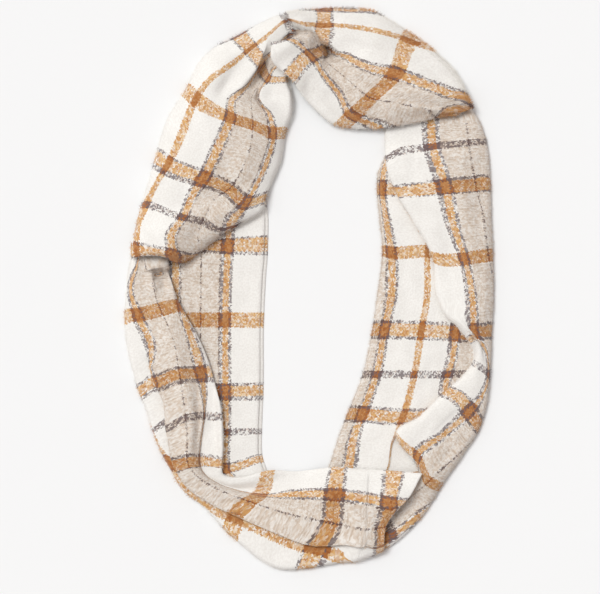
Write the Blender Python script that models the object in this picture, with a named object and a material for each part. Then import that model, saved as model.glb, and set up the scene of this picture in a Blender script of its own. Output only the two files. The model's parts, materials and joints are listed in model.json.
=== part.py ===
"""Plaid loop scarf, laid flat in an oval.

One length of brushed cloth is sewn into a loop, folded along its length and laid down.
Each stretch that shows is a wall, lofted through its sections, and lies on the stretches
laid before it. The layers inside the fold are one rounded solid round the loop, and a short
second one at its lower right corner.

Units are metres, +Z is up, and the underside rests on z = 0.
"""
import math

import bmesh
import bpy
import numpy as np
from mathutils.bvhtree import BVHTree

# Driving sizes. The tables below place the cloth in plan units, across to the right and down.
LAID_LENGTH = 0.660
PLAN_LENGTH = 563
UNIT = LAID_LENGTH / PLAN_LENGTH
PLAN_CENTRE_ACROSS = 309.05
PLAN_CENTRE_DOWN = 289.23
MILLIMETRE = 0.001
WALL = 0.0026
BACKING_STEP = 3.5

# Folded edges: how far in the roll reaches, how much cloth turns under, and least height
ROLL_REACH = 0.0052
RETURN_LENGTH = 0.0085
SMALLEST_FOLD = 2 * WALL + 0.0014

# Clearance that a wall is laid with, and the one it is then let down to
FIRST_GAP = 0.0008
SEAM_GAP = 0.00045
SETTLE_STEPS = 6
SETTLE_SLACK = 0.00005
WIDEST_GAP = 0.006

# Fineness of the walls: plan units along and across, and steps round a folded edge
ALONG_SPACING = 16
ACROSS_SPACING = 14
ROLL_POINTS = 2
SHORTEST_STEP = 0.2 * UNIT
MOST_OF_INTERVAL = 0.9

# A mark holds x, y, lift, weave and weft; only the plan axes may overshoot between marks
MARK_VALUES = 5
PLAN_AXES = 2

# Grid that the heights of the laid cloth are kept on
CELL = 0.003
MARGIN_CELLS = 20
EASE_CELLS = 3
FACE_SAMPLES = 9
NOTHING_ABOVE = 1.0

# Hidden layers inside the fold
HIDDEN_SPACING = 15
HIDDEN_STEP = 0.001
HIDDEN_REACH = 0.05
HIDDEN_INSET = 0.0015
HIDDEN_LAYERS = 2
HIDDEN_EDGE = 0.0026
HIDDEN_BULGE = 0.0008
HIDDEN_TOP = 0.022
HIDDEN_TOPS = 5
HIDDEN_CROWN = 4
HIDDEN_CLEARANCE = 0.0016
ROOM_CELLS = 2

# Colours and finish of the cloth
CLOTH_ROUGHNESS = 0.95
CREAM = (0.85, 0.83, 0.79, 1)
BEIGE = (0.66, 0.55, 0.45, 1)
TAN = (0.70, 0.50, 0.30, 1)

# Section tables. Each row has its place along the weave (weft), then one mark for each column:
# (place across the weave, across, down, lift in mm), and its own weft place where that differs.
# Left leg, lower band. Columns: left edge, line, thin line, line, inner hem
LEFT_UNDER = (
    (-55, (158, 172, 235, 2.6), (167.5, 180, 232, 2.6), (194, 204, 222, 2.6), (220.5, 230, 212, 2.6),
     (256, 262, 199, 2.6)),
    (-30, (158, 170, 240, 2.6), (167.5, 178, 238, 2.6), (194, 203, 231, 2.6), (220.5, 229.5, 221, 2.6),
     (256, 264.5, 212, 2.6)),
    (0, (158, 168, 246, 2.6), (167.5, 176.5, 246, 2.6), (194, 201.5, 245.5, 2.6),
     (220.5, 228.5, 245.5, 2.6), (256, 264.5, 245, 2.6)),
    (31, (158, 168, 277, 2.6), (167.5, 176, 277, 2.6), (194, 201, 277, 2.6), (220.5, 226.5, 277, 2.6),
     (256, 262.5, 277, 2.6)),
    (73, (162, 171, 319, 2.6), (170, 178, 319, 2.6), (194, 200.5, 319.5, 2.6),
     (220.5, 225.5, 319.5, 2.6), (256, 260.5, 319.5, 2.6)),
    (146, (182, 188, 391, 2.6), (185, 191, 391, 2.6), (198, 203, 391, 2.6), (220.5, 225.5, 391, 2.6),
     (256, 260, 390, 2.6)),
    (188, (186, 194, 431, 2.6), (189, 197, 431, 2.6), (199, 205, 431, 2.6), (220.5, 225.5, 431.5, 2.6),
     (256, 258.5, 431, 2.6)),
    (219, (186, 194, 455, 2.6), (189, 197, 455, 2.6), (199, 205, 458, 2.6), (220.5, 224.5, 460, 2.6),
     (256, 258.5, 452, 2.6)),
    (234, (186, 204, 472, 2.6), (189, 206, 472, 2.6), (199, 212, 472, 2.6), (220.5, 226, 471, 2.6),
     (256, 260, 460, 2.6)),
    (258, (186, 217, 485, 2.6), (189, 219, 485, 2.6), (199, 225, 484, 2.6), (220.5, 238, 481, 2.6),
     (256, 265, 473, 2.6)),
)

# Left leg and foot of the oval, upper band.
# Columns: outer fold, foot of the pleat, its crest, thin line, inner fold, its foot, hem
LEFT_OVER = (
    (-20, (85, 140, 226, 7), (82, 143, 226, 7), (80, 145, 226, 7), (62, 158, 227, 7),
     (48, 168, 228, 7), (44, 171, 228, 7), (36, 178, 229, 6)),
    (20, (82, 131, 258, 9), (79, 134, 258, 12), (77, 136, 258, 13), (62, 145, 260, 14),
     (46, 158, 261, 12), (42, 162, 261, 11), (37, 168, 262, 8)),
    (45, (88, 127, 286, 9), (84, 130, 286, 13), (82, 132, 286, 15), (62, 150.5, 285, 16),
     (44, 164, 284, 13), (41, 167, 284, 12), (36, 172, 284, 9)),
    (73, (106, 125, 317, 9), (96.5, 131.5, 315, 14), (95.5, 132.5, 315, 14.5), (62, 161, 308.5, 17),
     (45, 174, 305, 14), (42, 177, 304.5, 12), (38, 180.5, 304, 9)),
    (104, (114, 127.5, 346, 9), (96.5, 142.5, 341, 15), (95.5, 143.5, 341, 15.5), (62, 173.5, 337, 18),
     (42, 185.5, 335, 14), (31, 194, 334, 10), (28, 197, 333.5, 8)),
    (146, (118, 139.5, 392, 9), (97, 155.5, 381, 15), (95, 156.5, 380, 17), (62, 180.5, 373, 19),
     (42, 195, 373, 14), (31, 205.5, 372, 9), (22, 212, 371, 7)),
    (167, (122, 146, 408, 9), (100, 164, 401, 14), (82, 165.5, 399, 19), (62, 184, 395, 20),
     (42, 201, 393, 14), (31, 206.5, 393, 8), (14, 217.5, 394, 7)),
    (188, (125, 153, 430, 9), (107, 166, 427, 13), (81, 168, 422, 19), (62, 186.5, 417, 20),
     (43, 203.5, 415, 13), (28, 206, 415.5, 7), (5, 221.5, 415, 6)),
    (209, (129, 159, 446, 9), (111, 169.5, 443, 13), (80, 171.5, 440, 19), (62, 188.5, 437, 20),
     (44, 200.5, 437, 13), (27, 203, 437, 6), (3, 223, 441, 6)),
    (230, (132, 166.5, 461, 9), (116, 174, 464, 12), (80, 176, 463, 18), (62, 188.5, 461, 19),
     (46, 198.5, 461, 13), (26, 201, 461, 6), (2, 222, 463, 6)),
    (254, (132, 182, 488, 9), (125, 186.5, 485, 12), (79, 188.5, 483, 17), (62, 199.5, 476.5, 17),
     (56, 203.5, 474, 12), (24, 206, 473, 6), (0, 224, 474, 5)),
    (278, (133, 204, 507, 9), (125, 208.5, 501, 12), (79, 210, 498.5, 16), (62, 220, 488.5, 16),
     (57, 222.5, 486, 12), (20, 224, 484.5, 6), (0, 239, 477, 5)),
    (303, (145, 229, 533, 9), (125, 233.5, 513, 13), (79, 235, 511, 17), (62, 249, 500, 17),
     (46, 257, 496, 14), (28, 261, 493, 8), (0, 268, 470, 6)),
    (338, (160, 270, 565, 9), (125, 279, 532.5, 13), (79, 280.5, 530, 18), (62, 287, 512, 19),
     (43, 291, 499, 16), (29, 293, 489, 13), (0, 298, 471, 7)),
    (376, (150, 304, 568, 9), (123, 315, 544, 13), (80, 317, 540, 17), (62, 330.5, 521, 19),
     (43, 332.5, 501, 17), (29.5, 334, 487.5, 15), (0, 337.5, 466, 7)),
    (394, (134, 342, 562, 9), (116, 348, 543.5, 12), (78, 349, 541, 16), (62, 353, 525.5, 18),
     (43, 354.5, 504, 17), (29, 356, 489.5, 15), (0, 357, 468, 7)),
    (442, (126, 357, 560.5, 9), (112, 361, 545.5, 12), (78, 362, 543, 15), (62, 365, 527.5, 17),
     (43, 366.5, 505.5, 17), (29, 367.5, 491, 15), (0, 368, 468.5, 7)),
    (460, (118, 376, 553.5, 8), (104, 376.5, 547.5, 10), (82, 377, 545.5, 12), (62, 379, 527, 15),
     (43, 390, 509.5, 16), (29.5, 393.5, 495.5, 15), (0, 397, 470, 7)),
    (484, (108, 388, 547, 7), (100, 388, 543, 8), (84, 388, 541, 9), (62, 392, 524, 11),
     (43, 401, 507, 12), (29, 407.5, 497, 12), (0, 421.5, 472, 7)),
)

# Right leg, lower band. Columns: fold at the opening, line, middle, line, covered edge
RIGHT_UNDER = (
    (212, (176, 379.5, 169, 7), (167.5, 384, 169, 7), (140, 408, 169, 7), (110, 436, 169, 7),
     (80, 462, 169, 6)),
    (230, (177, 377.5, 188, 8), (167.5, 381.5, 188, 9), (140, 408, 189, 8), (110, 436, 189, 7),
     (80, 462, 189, 7)),
    (267, (177.5, 380.5, 222, 8), (167.5, 385.5, 222, 9), (138, 412, 222, 8), (110, 440, 222, 7),
     (80, 466, 222, 6)),
    (303, (177, 383, 250, 8), (167.5, 390.5, 251.5, 9), (128, 429.5, 250.5, 8), (100, 455, 251, 6),
     (75, 474, 252, 4)),
    (345, (180, 377.5, 297, 8), (167.5, 390.5, 297, 9), (128, 427, 297, 8), (95, 455, 298, 6),
     (72, 474, 298, 4)),
    (376, (183, 373, 329, 8), (167.5, 384, 329, 9), (128, 421.5, 330, 9), (88.5, 455.5, 332, 6),
     (66, 476, 334, 4)),
    (418, (184, 363.5, 373, 8), (167.5, 376, 373, 9), (128, 414.5, 373, 9), (88.5, 448, 373, 6),
     (62, 474, 372, 4)),
    (460, (184, 348.5, 413, 8), (167.5, 361.5, 413.5, 9), (128, 403, 416.5, 9), (98, 430, 414, 6),
     (80, 446, 409, 4)),
    (490, (184, 338, 441, 8), (167.5, 352, 441, 9), (130, 393.5, 441, 9), (112, 411, 439, 6),
     (98, 425, 436, 4)),
    (517, (184, 331, 463, 8), (167.5, 348, 466, 8), (131, 387.5, 466, 9), (105, 412, 464, 7),
     (90, 429, 463, 5)),
    (548, (184, 323, 488, 7), (167.5, 339, 490, 8), (131, 376, 491, 8), (110, 396, 489, 7),
     (96, 410, 486, 6)),
)

# Right leg, upper band. Columns: inner fold, crest, line, thin line, line, outer fold
RIGHT_OVER = (
    (130, (137, 394, 96, 7), (132, 400, 96, 8), (88.5, 428, 94, 9), (70, 446, 94, 8), (62, 453, 95, 7),
     (56, 459, 96, 7)),
    (160, (137, 386, 126, 7), (130, 393, 125, 9), (88.5, 430.5, 121, 12), (62, 464.5, 120, 13),
     (55, 471, 119, 12), (48, 477.5, 119, 9)),
    (188, (135, 385.5, 159, 7), (125, 396, 153.5, 10), (88.5, 432, 147, 13), (62, 468, 143, 14),
     (55, 476, 142, 13), (46, 486, 142, 9)),
    (230, (130, 395.5, 192, 7), (121, 406, 191, 9), (88.5, 444.5, 187, 13), (62, 475, 184, 14),
     (54, 482.5, 183, 13), (46, 490, 183, 9)),
    (267, (130, 413, 222, 7), (120, 422, 222, 9), (88.5, 451.5, 222, 13), (62, 483.5, 222, 14),
     (59, 486.5, 222, 12), (52, 491, 222, 9)),
    (303, (123, 432, 257, 7), (114, 441, 259.5, 9), (88.5, 463.5, 258.5, 13), (66, 483.5, 255, 14),
     (62, 488, 254.5, 12), (57, 492.5, 254, 9)),
    (345, (121, 430.5, 298, 7), (112, 441, 298, 9), (88.5, 471.5, 298, 14), (74, 483.5, 298, 14),
     (70, 488, 298, 12), (65, 493, 298, 9)),
    (366, (112, 447, 318, 9, 350), (104, 455, 317, 12, 350), (88.5, 472.5, 321, 16),
     (76, 483, 321, 15), (71, 487, 320, 12), (66, 492, 320, 9)),
    (382, (114, 457, 327, 10, 352), (106, 464, 325, 14, 352), (90, 472, 335, 13), (80, 483, 336, 12),
     (75, 487, 336, 11), (68, 491, 336, 9)),
    (400, (116, 472.5, 349, 11, 396), (108, 479, 346, 15, 396), (100, 482, 352, 13, 400),
     (88, 486.5, 354, 11, 400), (82, 488, 354, 10, 400), (75, 490.5, 355, 9, 400)),
    (418, (118, 472.5, 361, 10), (110, 478.5, 364.5, 13), (98, 484.5, 369, 13), (93, 486.5, 371, 12),
     (90, 487.5, 372, 11), (84, 489.5, 374, 9)),
    (439, (122, 458, 379.5, 9), (112, 468, 384, 12), (88.5, 482.5, 394, 13), (82, 484.5, 397, 12),
     (79, 485.5, 399, 11), (73, 487, 402, 9)),
    (460, (123, 446, 390, 8), (112, 456, 394, 11), (88.5, 469, 410.5, 14), (80, 474, 418, 13),
     (75, 476.5, 422, 12), (67, 480, 426, 9)),
    (496, (124, 420, 415, 8), (112, 430, 422, 11), (88.5, 444, 433, 14), (70, 455, 445, 14),
     (64, 460, 450, 12), (58, 463.5, 453, 9)),
    (533, (122, 397, 438, 8), (112, 403, 445, 10), (88.5, 416.5, 456.5, 12), (62, 428, 481, 14),
     (56, 433, 484, 13), (49, 440, 487, 9)),
    (560, (86, 420, 469.5, 7), (80, 421.5, 473, 9), (74, 420, 478, 10), (62, 418.5, 489.5, 12),
     (50, 427, 495, 12), (43, 433, 499, 9)),
    (583, (76, 402, 487, 7), (72, 403, 491, 8), (68, 404, 496, 9), (62, 404, 502, 8),
     (43, 414, 511, 11), (33, 420, 518, 8)),
    (606, (76, 374, 505, 7), (72, 375, 509, 8), (68, 376, 513, 8), (62, 377, 519, 8),
     (40, 380.5, 535, 8), (22, 382, 549, 7)),
    (622, (76, 352, 507, 6), (72, 353, 511, 5.5), (68, 354, 515, 5.5), (62, 355, 519, 5.5),
     (40, 356, 532, 5.5), (22, 358, 545, 6)),
)

# Roll at the upper left. Columns: outer fold, middle, line, thin line, line, inner fold
ROLL = (
    (-60, (106, 301, 21, 7), (128, 304, 30, 8), (150, 307, 39, 8), (190, 307, 50, 7),
     (215, 306, 62, 6), (250, 303, 74, 6)),
    (-42, (104, 283.5, 15.5, 10), (128, 287, 22, 14), (150, 290.5, 31, 15), (190, 291, 42, 9),
     (215, 291, 58, 7), (250, 289, 72, 7)),
    (-20, (98, 262, 23, 10), (128, 268, 36, 18), (155, 272, 48, 18), (190, 272, 62, 11),
     (216, 273, 68, 9), (254, 289, 74, 11)),
    (0, (92, 238.5, 35.5, 10), (128, 250.5, 50, 20), (160, 258.5, 62, 18), (190, 265, 73, 10),
     (216, 268, 78, 11), (254, 287, 80, 16)),
    (30, (97, 213, 49.5, 11), (128, 231, 66, 23), (167.5, 245.5, 88, 21), (194, 252, 98, 16),
     (220.5, 262, 97, 14), (256, 292, 96, 17)),
    (50, (103, 198, 65, 11), (128, 211, 80.5, 25), (167.5, 232.5, 102, 25), (194, 251.5, 109, 22),
     (220.5, 269, 112, 17), (253, 292, 113, 15)),
    (73, (112, 185.5, 90.5, 12), (128, 196.5, 99.5, 23), (167.5, 231.5, 118.5, 29),
     (194, 253, 126, 27), (220.5, 273.5, 134.5, 20), (240, 285.5, 133, 11)),
    (110, (113, 169.5, 116, 12), (128, 182.5, 135, 23), (167.5, 219, 148, 30), (194, 249, 153, 27),
     (220.5, 268, 160, 19), (240, 281, 160, 11)),
    (146, (110, 156, 157, 12), (128, 168.5, 164.5, 22), (167.5, 204.5, 179, 29), (194, 229, 190, 26),
     (220.5, 246.5, 204, 18), (246, 265.5, 198, 10)),
    (165, (115, 150, 179, 11), (128, 157, 184, 19), (167.5, 194, 196, 27), (194, 215, 199.5, 25),
     (220.5, 237, 216, 17), (238, 262, 211, 9)),
    (188, (124, 142, 204, 11), (128, 146.5, 204.5, 15), (167.5, 184.5, 218, 25), (194, 203, 222, 23),
     (212, 219, 230, 16), (224, 236, 226, 9)),
    (209, (126, 137, 226, 10), (130, 140, 227, 14), (167.5, 173, 235, 23), (188, 192, 240, 21),
     (198, 203, 243, 15), (208, 213, 241.5, 9)),
    (230, (122, 132, 250, 9), (132, 141, 251, 13), (165, 171, 255, 19), (172, 181, 258, 17),
     (180, 187, 259, 12), (186, 193, 257.5, 8)),
    (243, (122, 133, 262, 7), (130, 141, 261, 8), (160, 166, 262, 12), (166, 174, 265, 12),
     (170, 179, 267, 10), (174, 184, 266, 7)),
)

# Lobe at the top. Columns: outer fold, middle, line, thin line, line, hem
LOBE = (
    (-42, (104, 284, 15.5, 10), (128, 287.5, 22, 17), (160, 291, 31, 14), (190, 293, 37, 12),
     (216, 288, 41, 16), (256, 271.5, 44, 12)),
    (-20, (96, 300, 12, 11), (128, 305, 24, 21), (160, 312, 34, 13), (190, 309, 40, 20),
     (220.5, 297, 45.5, 23), (256, 272, 62, 14)),
    (0, (88, 324, 10, 11), (128, 324.5, 26, 24), (155, 328, 40, 19), (178, 324, 53, 10),
     (220.5, 310, 57, 24), (256, 290, 79.5, 14)),
    (25, (84, 349, 9.5, 11), (128, 351, 28.5, 27), (167.5, 349, 60, 25), (190, 334, 67, 18),
     (220.5, 325, 78, 23), (256, 304, 98.5, 12)),
    (45, (90, 372, 12, 11), (128, 374, 32, 27), (167.5, 367, 69.5, 30), (194, 351, 84, 26),
     (220.5, 338, 94, 21), (256, 321, 115.5, 11)),
    (73, (119, 414, 37, 10), (128, 408, 41.5, 16), (167.5, 393.5, 75, 29), (194, 370, 99, 27),
     (220.5, 351, 117, 19), (244, 339, 126.5, 9)),
    (98, (134, 438, 56, 10), (140, 436, 60, 15), (167.5, 423, 86, 26), (194, 397, 104.5, 25),
     (212, 386, 121, 16), (219, 380, 129, 9)),
    (122, (147, 457, 76, 10), (152, 455, 80, 14), (167.5, 446, 95, 21), (194, 424, 110, 20),
     (200, 421, 117, 13), (206, 418, 123, 9)),
    (146, (158, 468, 100, 9), (162, 466, 102, 12), (168, 463, 105, 14), (185, 450, 112, 14),
     (190, 447, 115, 11), (196, 445, 117.5, 8)),
    (158, (163, 472, 109, 7), (166, 470, 110, 8), (170, 467, 111, 9), (182, 461, 113.5, 9),
     (188, 458, 115, 8), (192, 455, 117, 7)),
)

# Paths of the hidden layers, as (across, down)
HIDDEN_RING = (
    (290, 34), (262, 57), (228, 98), (208, 150), (182, 208), (160, 236), (151, 265), (153, 302), (158, 345),
    (172, 395), (178, 440), (186, 468), (208, 493), (250, 511), (295, 517), (330, 508), (349, 486), (366, 455),
    (385, 415), (397, 373), (403, 330), (408, 290), (410, 250), (416, 210), (436, 165), (444, 125), (424, 96),
    (385, 68), (345, 40), (312, 28), (290, 34),
)
HIDDEN_CORNER = ((468, 402), (456, 430), (442, 455), (430, 478), (416, 496), (398, 512))

# name, path, whether it closes on itself, and how many cells its top is eased over
HIDDEN = (
    ("hidden_layers", HIDDEN_RING, True, 5),
    ("hidden_layers_corner", HIDDEN_CORNER, False, 2),
)


def slopes(knots, values, keep_shape):
    """Slopes of a smooth curve through the values; keep_shape allows no overshoot."""
    last = len(knots) - 1
    steps = [knots[k + 1] - knots[k] for k in range(last)]
    rises = [(values[k + 1] - values[k]) / steps[k] for k in range(last)]
    found = [rises[0]]
    for k in range(1, last):
        before, after = rises[k - 1], rises[k]
        if not keep_shape:
            found.append((steps[k] * before + steps[k - 1] * after) / (steps[k] + steps[k - 1]))
        elif before * after <= 0:
            found.append(0.0)
        else:
            first = 2 * steps[k] + steps[k - 1]
            second = steps[k] + 2 * steps[k - 1]
            found.append((first + second) / (first / before + second / after))
    found.append(rises[-1])
    return found


def curve_value(knots, values, found, k, share):
    """Value of the smooth curve at a share of its interval k."""
    step = knots[k + 1] - knots[k]
    square = share * share
    cube = square * share
    start = (2 * cube - 3 * square + 1) * values[k] + (cube - 2 * square + share) * step * found[k]
    end = (3 * square - 2 * cube) * values[k + 1] + (cube - square) * step * found[k + 1]
    return start + end


def full_mark(mark, weft):
    """A table's mark as (x, y, lift, weave, weft), the first three in metres."""
    weave, across, down, lift = mark[:4]
    x = (across - PLAN_CENTRE_ACROSS) * UNIT
    y = (PLAN_CENTRE_DOWN - down) * UNIT
    return (x, y, lift * MILLIMETRE, weave, mark[4] if len(mark) > 4 else weft)


def even_steps(length, spacing):
    """How many even steps a length takes."""
    return max(1, round(length / (spacing * UNIT)))


def rows_between(rows, spacing):
    """Smoothly spaced rows of marks through a table's rows."""
    marks = [[full_mark(mark, row[0]) for mark in row[1:]] for row in rows]
    width, length = len(marks[0]), len(marks)
    gaps = [[math.dist(marks[r][c][:2], marks[r + 1][c][:2]) for c in range(width)] for r in range(length - 1)]
    knots = [0.0]
    for gap in gaps:
        knots.append(knots[-1] + sum(gap) / width)
    columns = []
    for c in range(width):
        kinds = [[marks[r][c][n] for r in range(length)] for n in range(MARK_VALUES)]
        columns.append([(values, slopes(knots, values, n >= PLAN_AXES)) for n, values in enumerate(kinds)])
    result = []
    for r, gap in enumerate(gaps):
        count = even_steps(max(gap), spacing)
        for step in range(count if r < length - 2 else count + 1):
            share = step / count
            result.append([tuple(curve_value(knots, v, m, r, share) for v, m in column) for column in columns])
    return result


def roll_share(step):
    """Distance from a fold's edge, as a share of the roll, at a step round its quarter turn."""
    return 1 - math.cos(0.5 * math.pi * step / ROLL_POINTS)


def shares_of(count, length, edge_first, edge_last):
    """Shares of an interval across the cloth, closer together beside a folded edge."""
    most = MOST_OF_INTERVAL * length / ROLL_POINTS
    near = [min(ROLL_REACH * roll_share(k), most * k) / length for k in range(1, ROLL_POINTS + 1)]
    start = near if edge_first else []
    end = [1 - share for share in reversed(near)] if edge_last else []
    low = start[-1] if start else 0.0
    high = end[0] if end else 1.0
    middle = [low + (high - low) * k / count for k in range(1, count)]
    return [0.0] + start + middle + end


def lines_across(rows, spacing, left_edge, right_edge):
    """Each row of marks, filled in across the cloth; every line has the same number of points."""
    width = len(rows[0])
    widest = [max(math.dist(row[c][:2], row[c + 1][:2]) for row in rows) for c in range(width - 1)]
    counts = [even_steps(length, spacing) for length in widest]
    lines = []
    for row in rows:
        knots = [0.0]
        for c in range(width - 1):
            knots.append(knots[-1] + max(math.dist(row[c][:2], row[c + 1][:2]), SHORTEST_STEP))
        kinds = []
        for n in range(MARK_VALUES):
            values = [mark[n] for mark in row]
            kinds.append((values, slopes(knots, values, n >= PLAN_AXES)))
        line = []
        for c, count in enumerate(counts):
            length = knots[c + 1] - knots[c]
            first = c == 0 and left_edge == "fold"
            last = c == width - 2 and right_edge == "fold"
            for share in shares_of(count, length, first, last):
                line.append(tuple(curve_value(knots, v, m, c, share) for v, m in kinds))
        line.append(row[-1])
        lines.append(line)
    return lines


def inward(line, from_end):
    """Unit direction in plan from a line's edge into the cloth."""
    points = list(reversed(line)) if from_end else line
    start = points[0]
    other = next((p for p in points if math.dist(p[:2], start[:2]) > ROLL_REACH), points[-1])
    length = math.dist(other[:2], start[:2])
    return ((other[0] - start[0]) / length, (other[1] - start[1]) / length)


def turn_at(distance):
    """Sine and cosine of a fold's turn at a distance from its edge."""
    share = min(1.0, distance / ROLL_REACH)
    cosine = 1 - share
    return math.sqrt(1 - cosine * cosine), cosine


def under_points(line, from_end):
    """Outer and inner points of the cloth turned under at a fold, from its end to the edge."""
    edge = line[-1] if from_end else line[0]
    way = inward(line, from_end)
    half = 0.5 * max(edge[2], SMALLEST_FOLD)
    distances = [RETURN_LENGTH] + [ROLL_REACH * roll_share(k) for k in range(ROLL_POINTS, 0, -1)]
    outer, inner = [], []
    for distance in distances:
        sine, cosine = turn_at(distance)
        height = half * (1 - sine)
        x = edge[0] + way[0] * distance
        y = edge[1] + way[1] * distance
        outer.append((x, y, height))
        inset = WALL * cosine
        inner.append((x + way[0] * inset, y + way[1] * inset, height + WALL * sine))
    return outer, inner


def section(line, left_edge, right_edge):
    """Outer and inner points of one section of a wall, above what it lies on."""
    ways = (inward(line, False), inward(line, True))
    outer, inner = [], []
    for point in line:
        height = max(point[2], WALL)
        x, y = point[0], point[1]
        shift = [0.0, 0.0]
        drop = WALL
        for kind, edge, way in ((left_edge, line[0], ways[0]), (right_edge, line[-1], ways[1])):
            distance = math.dist(point[:2], edge[:2])
            if kind != "fold" or distance >= ROLL_REACH:
                continue
            sine, cosine = turn_at(distance)
            half = 0.5 * max(edge[2], SMALLEST_FOLD)
            height = half + (max(height, SMALLEST_FOLD) - half) * sine
            shift = [way[0] * WALL * cosine, way[1] * WALL * cosine]
            drop = WALL * sine
        outer.append((x, y, height))
        inner.append((x + shift[0], y + shift[1], height - drop))
    if left_edge == "fold":
        under_outer, under_inner = under_points(line, False)
        outer = under_outer + outer
        inner = under_inner + inner
    if right_edge == "fold":
        under_outer, under_inner = under_points(line, True)
        outer = outer + list(reversed(under_outer))
        inner = inner + list(reversed(under_inner))
    return outer, inner


class LaidCloth:
    """Heights of the cloth laid so far, on a square grid."""

    def __init__(self):
        half_across = 0.5 * LAID_LENGTH
        self.start = (-half_across, -half_across - MARGIN_CELLS * CELL)
        cells = int(2 * half_across / CELL) + 2
        size = (cells, cells + 2 * MARGIN_CELLS)
        self.top = np.zeros(size)
        self.bottom = np.full(size, NOTHING_ABOVE)
        self.eased = np.zeros(size)
        self.settled = 0.0

    def cells(self, points):
        """Grid cells of an array of points."""
        across = np.rint((points[..., 0] - self.start[0]) / CELL).astype(int)
        down = np.rint((points[..., 1] - self.start[1]) / CELL).astype(int)
        return across, down

    def add(self, grid):
        """Marks a wall's grid of points as laid."""
        shares = [step / FACE_SAMPLES for step in range(FACE_SAMPLES)]
        for a in shares:
            low = grid[:-1, :-1] * (1 - a) + grid[1:, :-1] * a
            high = grid[:-1, 1:] * (1 - a) + grid[1:, 1:] * a
            for b in shares:
                points = low * (1 - b) + high * b
                cells = self.cells(points)
                np.maximum.at(self.top, cells, points[..., 2])
                np.minimum.at(self.bottom, cells, points[..., 2])

    def ease(self):
        """Heights that the next wall follows: nowhere below the laid cloth, and smooth."""
        raised = widened(self.top, np.maximum, EASE_CELLS)
        self.eased = softened(raised, EASE_CELLS)

    def height(self, x, y):
        """Height that a wall lies on at a place, with its clearance."""
        height = sampled(self.eased, (x - self.start[0]) / CELL, (y - self.start[1]) / CELL)
        return max(0.0, height + (FIRST_GAP - self.settled) * min(1.0, height / WALL))


def widened(field, choose, reach):
    """Greatest or smallest of each cell's neighbours within a reach."""
    result = field.copy()
    for axis in (0, 1):
        source = result.copy()
        for step in range(-reach, reach + 1):
            result = choose(result, np.roll(source, step, axis))
    return result


def softened(field, reach):
    """Mean of each cell's neighbours within a reach."""
    result = field
    for axis in (0, 1):
        result = sum(np.roll(result, step, axis) for step in range(-reach, reach + 1)) / (2 * reach + 1)
    return result


def sampled(field, across, down):
    """Value between four cells."""
    column, row = int(across), int(down)
    a, b = across - column, down - row
    near = field[column, row] * (1 - a) + field[column + 1, row] * a
    far = field[column, row + 1] * (1 - a) + field[column + 1, row + 1] * a
    return near * (1 - b) + far * b


def placed(points, cloth):
    """Points set on what is laid below them."""
    return [(x, y, z + cloth.height(x, y)) for x, y, z in points]


def wall_grids(rows, left_edge, right_edge, cloth):
    """Outer and inner grids of a stretch's wall, where it lies."""
    lines = lines_across(rows_between(rows, ALONG_SPACING), ACROSS_SPACING, left_edge, right_edge)
    outer_grid, inner_grid = [], []
    for line in lines:
        outer, inner = section(line, left_edge, right_edge)
        outer_grid.append(placed(outer, cloth))
        inner_grid.append(placed(inner, cloth))
    return outer_grid, inner_grid


def lofted(outer_grid, inner_grid):
    """One closed solid between an outer and an inner grid of sections."""
    mesh = bmesh.new()
    outer = [[mesh.verts.new(point) for point in line] for line in outer_grid]
    inner = [[mesh.verts.new(point) for point in line] for line in inner_grid]
    rows, width = len(outer), len(outer[0])
    for grid, turned in ((outer, False), (inner, True)):
        for r in range(rows - 1):
            for c in range(width - 1):
                corners = [grid[r][c], grid[r + 1][c], grid[r + 1][c + 1], grid[r][c + 1]]
                mesh.faces.new(reversed(corners) if turned else corners)
    for r in range(rows - 1):
        for c in (0, width - 1):
            mesh.faces.new((outer[r][c], outer[r + 1][c], inner[r + 1][c], inner[r][c]))
    for c in range(width - 1):
        for r in (0, rows - 1):
            mesh.faces.new((outer[r][c], outer[r][c + 1], inner[r][c + 1], inner[r][c]))
    bmesh.ops.recalc_face_normals(mesh, faces=mesh.faces)
    bmesh.ops.triangulate(mesh, faces=mesh.faces)
    return mesh


def clearance(mesh, laid):
    """Least distance between a solid's corners and those laid before it, either way round."""
    tree = BVHTree.FromBMesh(mesh)
    least = WIDEST_GAP
    for other, corners in laid:
        if tree.overlap(other):
            return 0.0
        for vertex in mesh.verts:
            found = other.find_nearest(vertex.co, least)
            if found[0] is not None:
                least = min(least, found[3])
        for corner in corners:
            found = tree.find_nearest(corner, least)
            if found[0] is not None:
                least = min(least, found[3])
    return least


def settled_wall(rows, left_edge, right_edge, cloth, laid):
    """A stretch's wall, let down until it lies a seam's gap above what it meets."""
    cloth.settled = 0.0
    for attempt in range(SETTLE_STEPS + 1):
        grids = wall_grids(rows, left_edge, right_edge, cloth)
        mesh = lofted(*grids)
        least = clearance(mesh, laid)
        if not laid or attempt == SETTLE_STEPS or least >= WIDEST_GAP or least <= SEAM_GAP + SETTLE_SLACK:
            break
        cloth.settled += least - SEAM_GAP
        mesh.free()
    return grids, mesh


def finish(name, mesh, colour, collection):
    """Turns a finished bmesh into a named object with its cloth."""
    data = bpy.data.meshes.new(name)
    mesh.to_mesh(data)
    mesh.free()
    data.shade_smooth()
    data.materials.append(cloth_material(name, colour))
    collection.objects.link(bpy.data.objects.new(name, data))


def cloth_material(name, colour):
    """The brushed cloth, in a stretch's main colour."""
    material = bpy.data.materials.new(name + "_cloth")
    material.use_nodes = True
    shader = material.node_tree.nodes["Principled BSDF"]
    shader.inputs["Base Color"].default_value = colour
    shader.inputs["Roughness"].default_value = CLOTH_ROUGHNESS
    shader.inputs["Metallic"].default_value = 0.0
    return material


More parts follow.
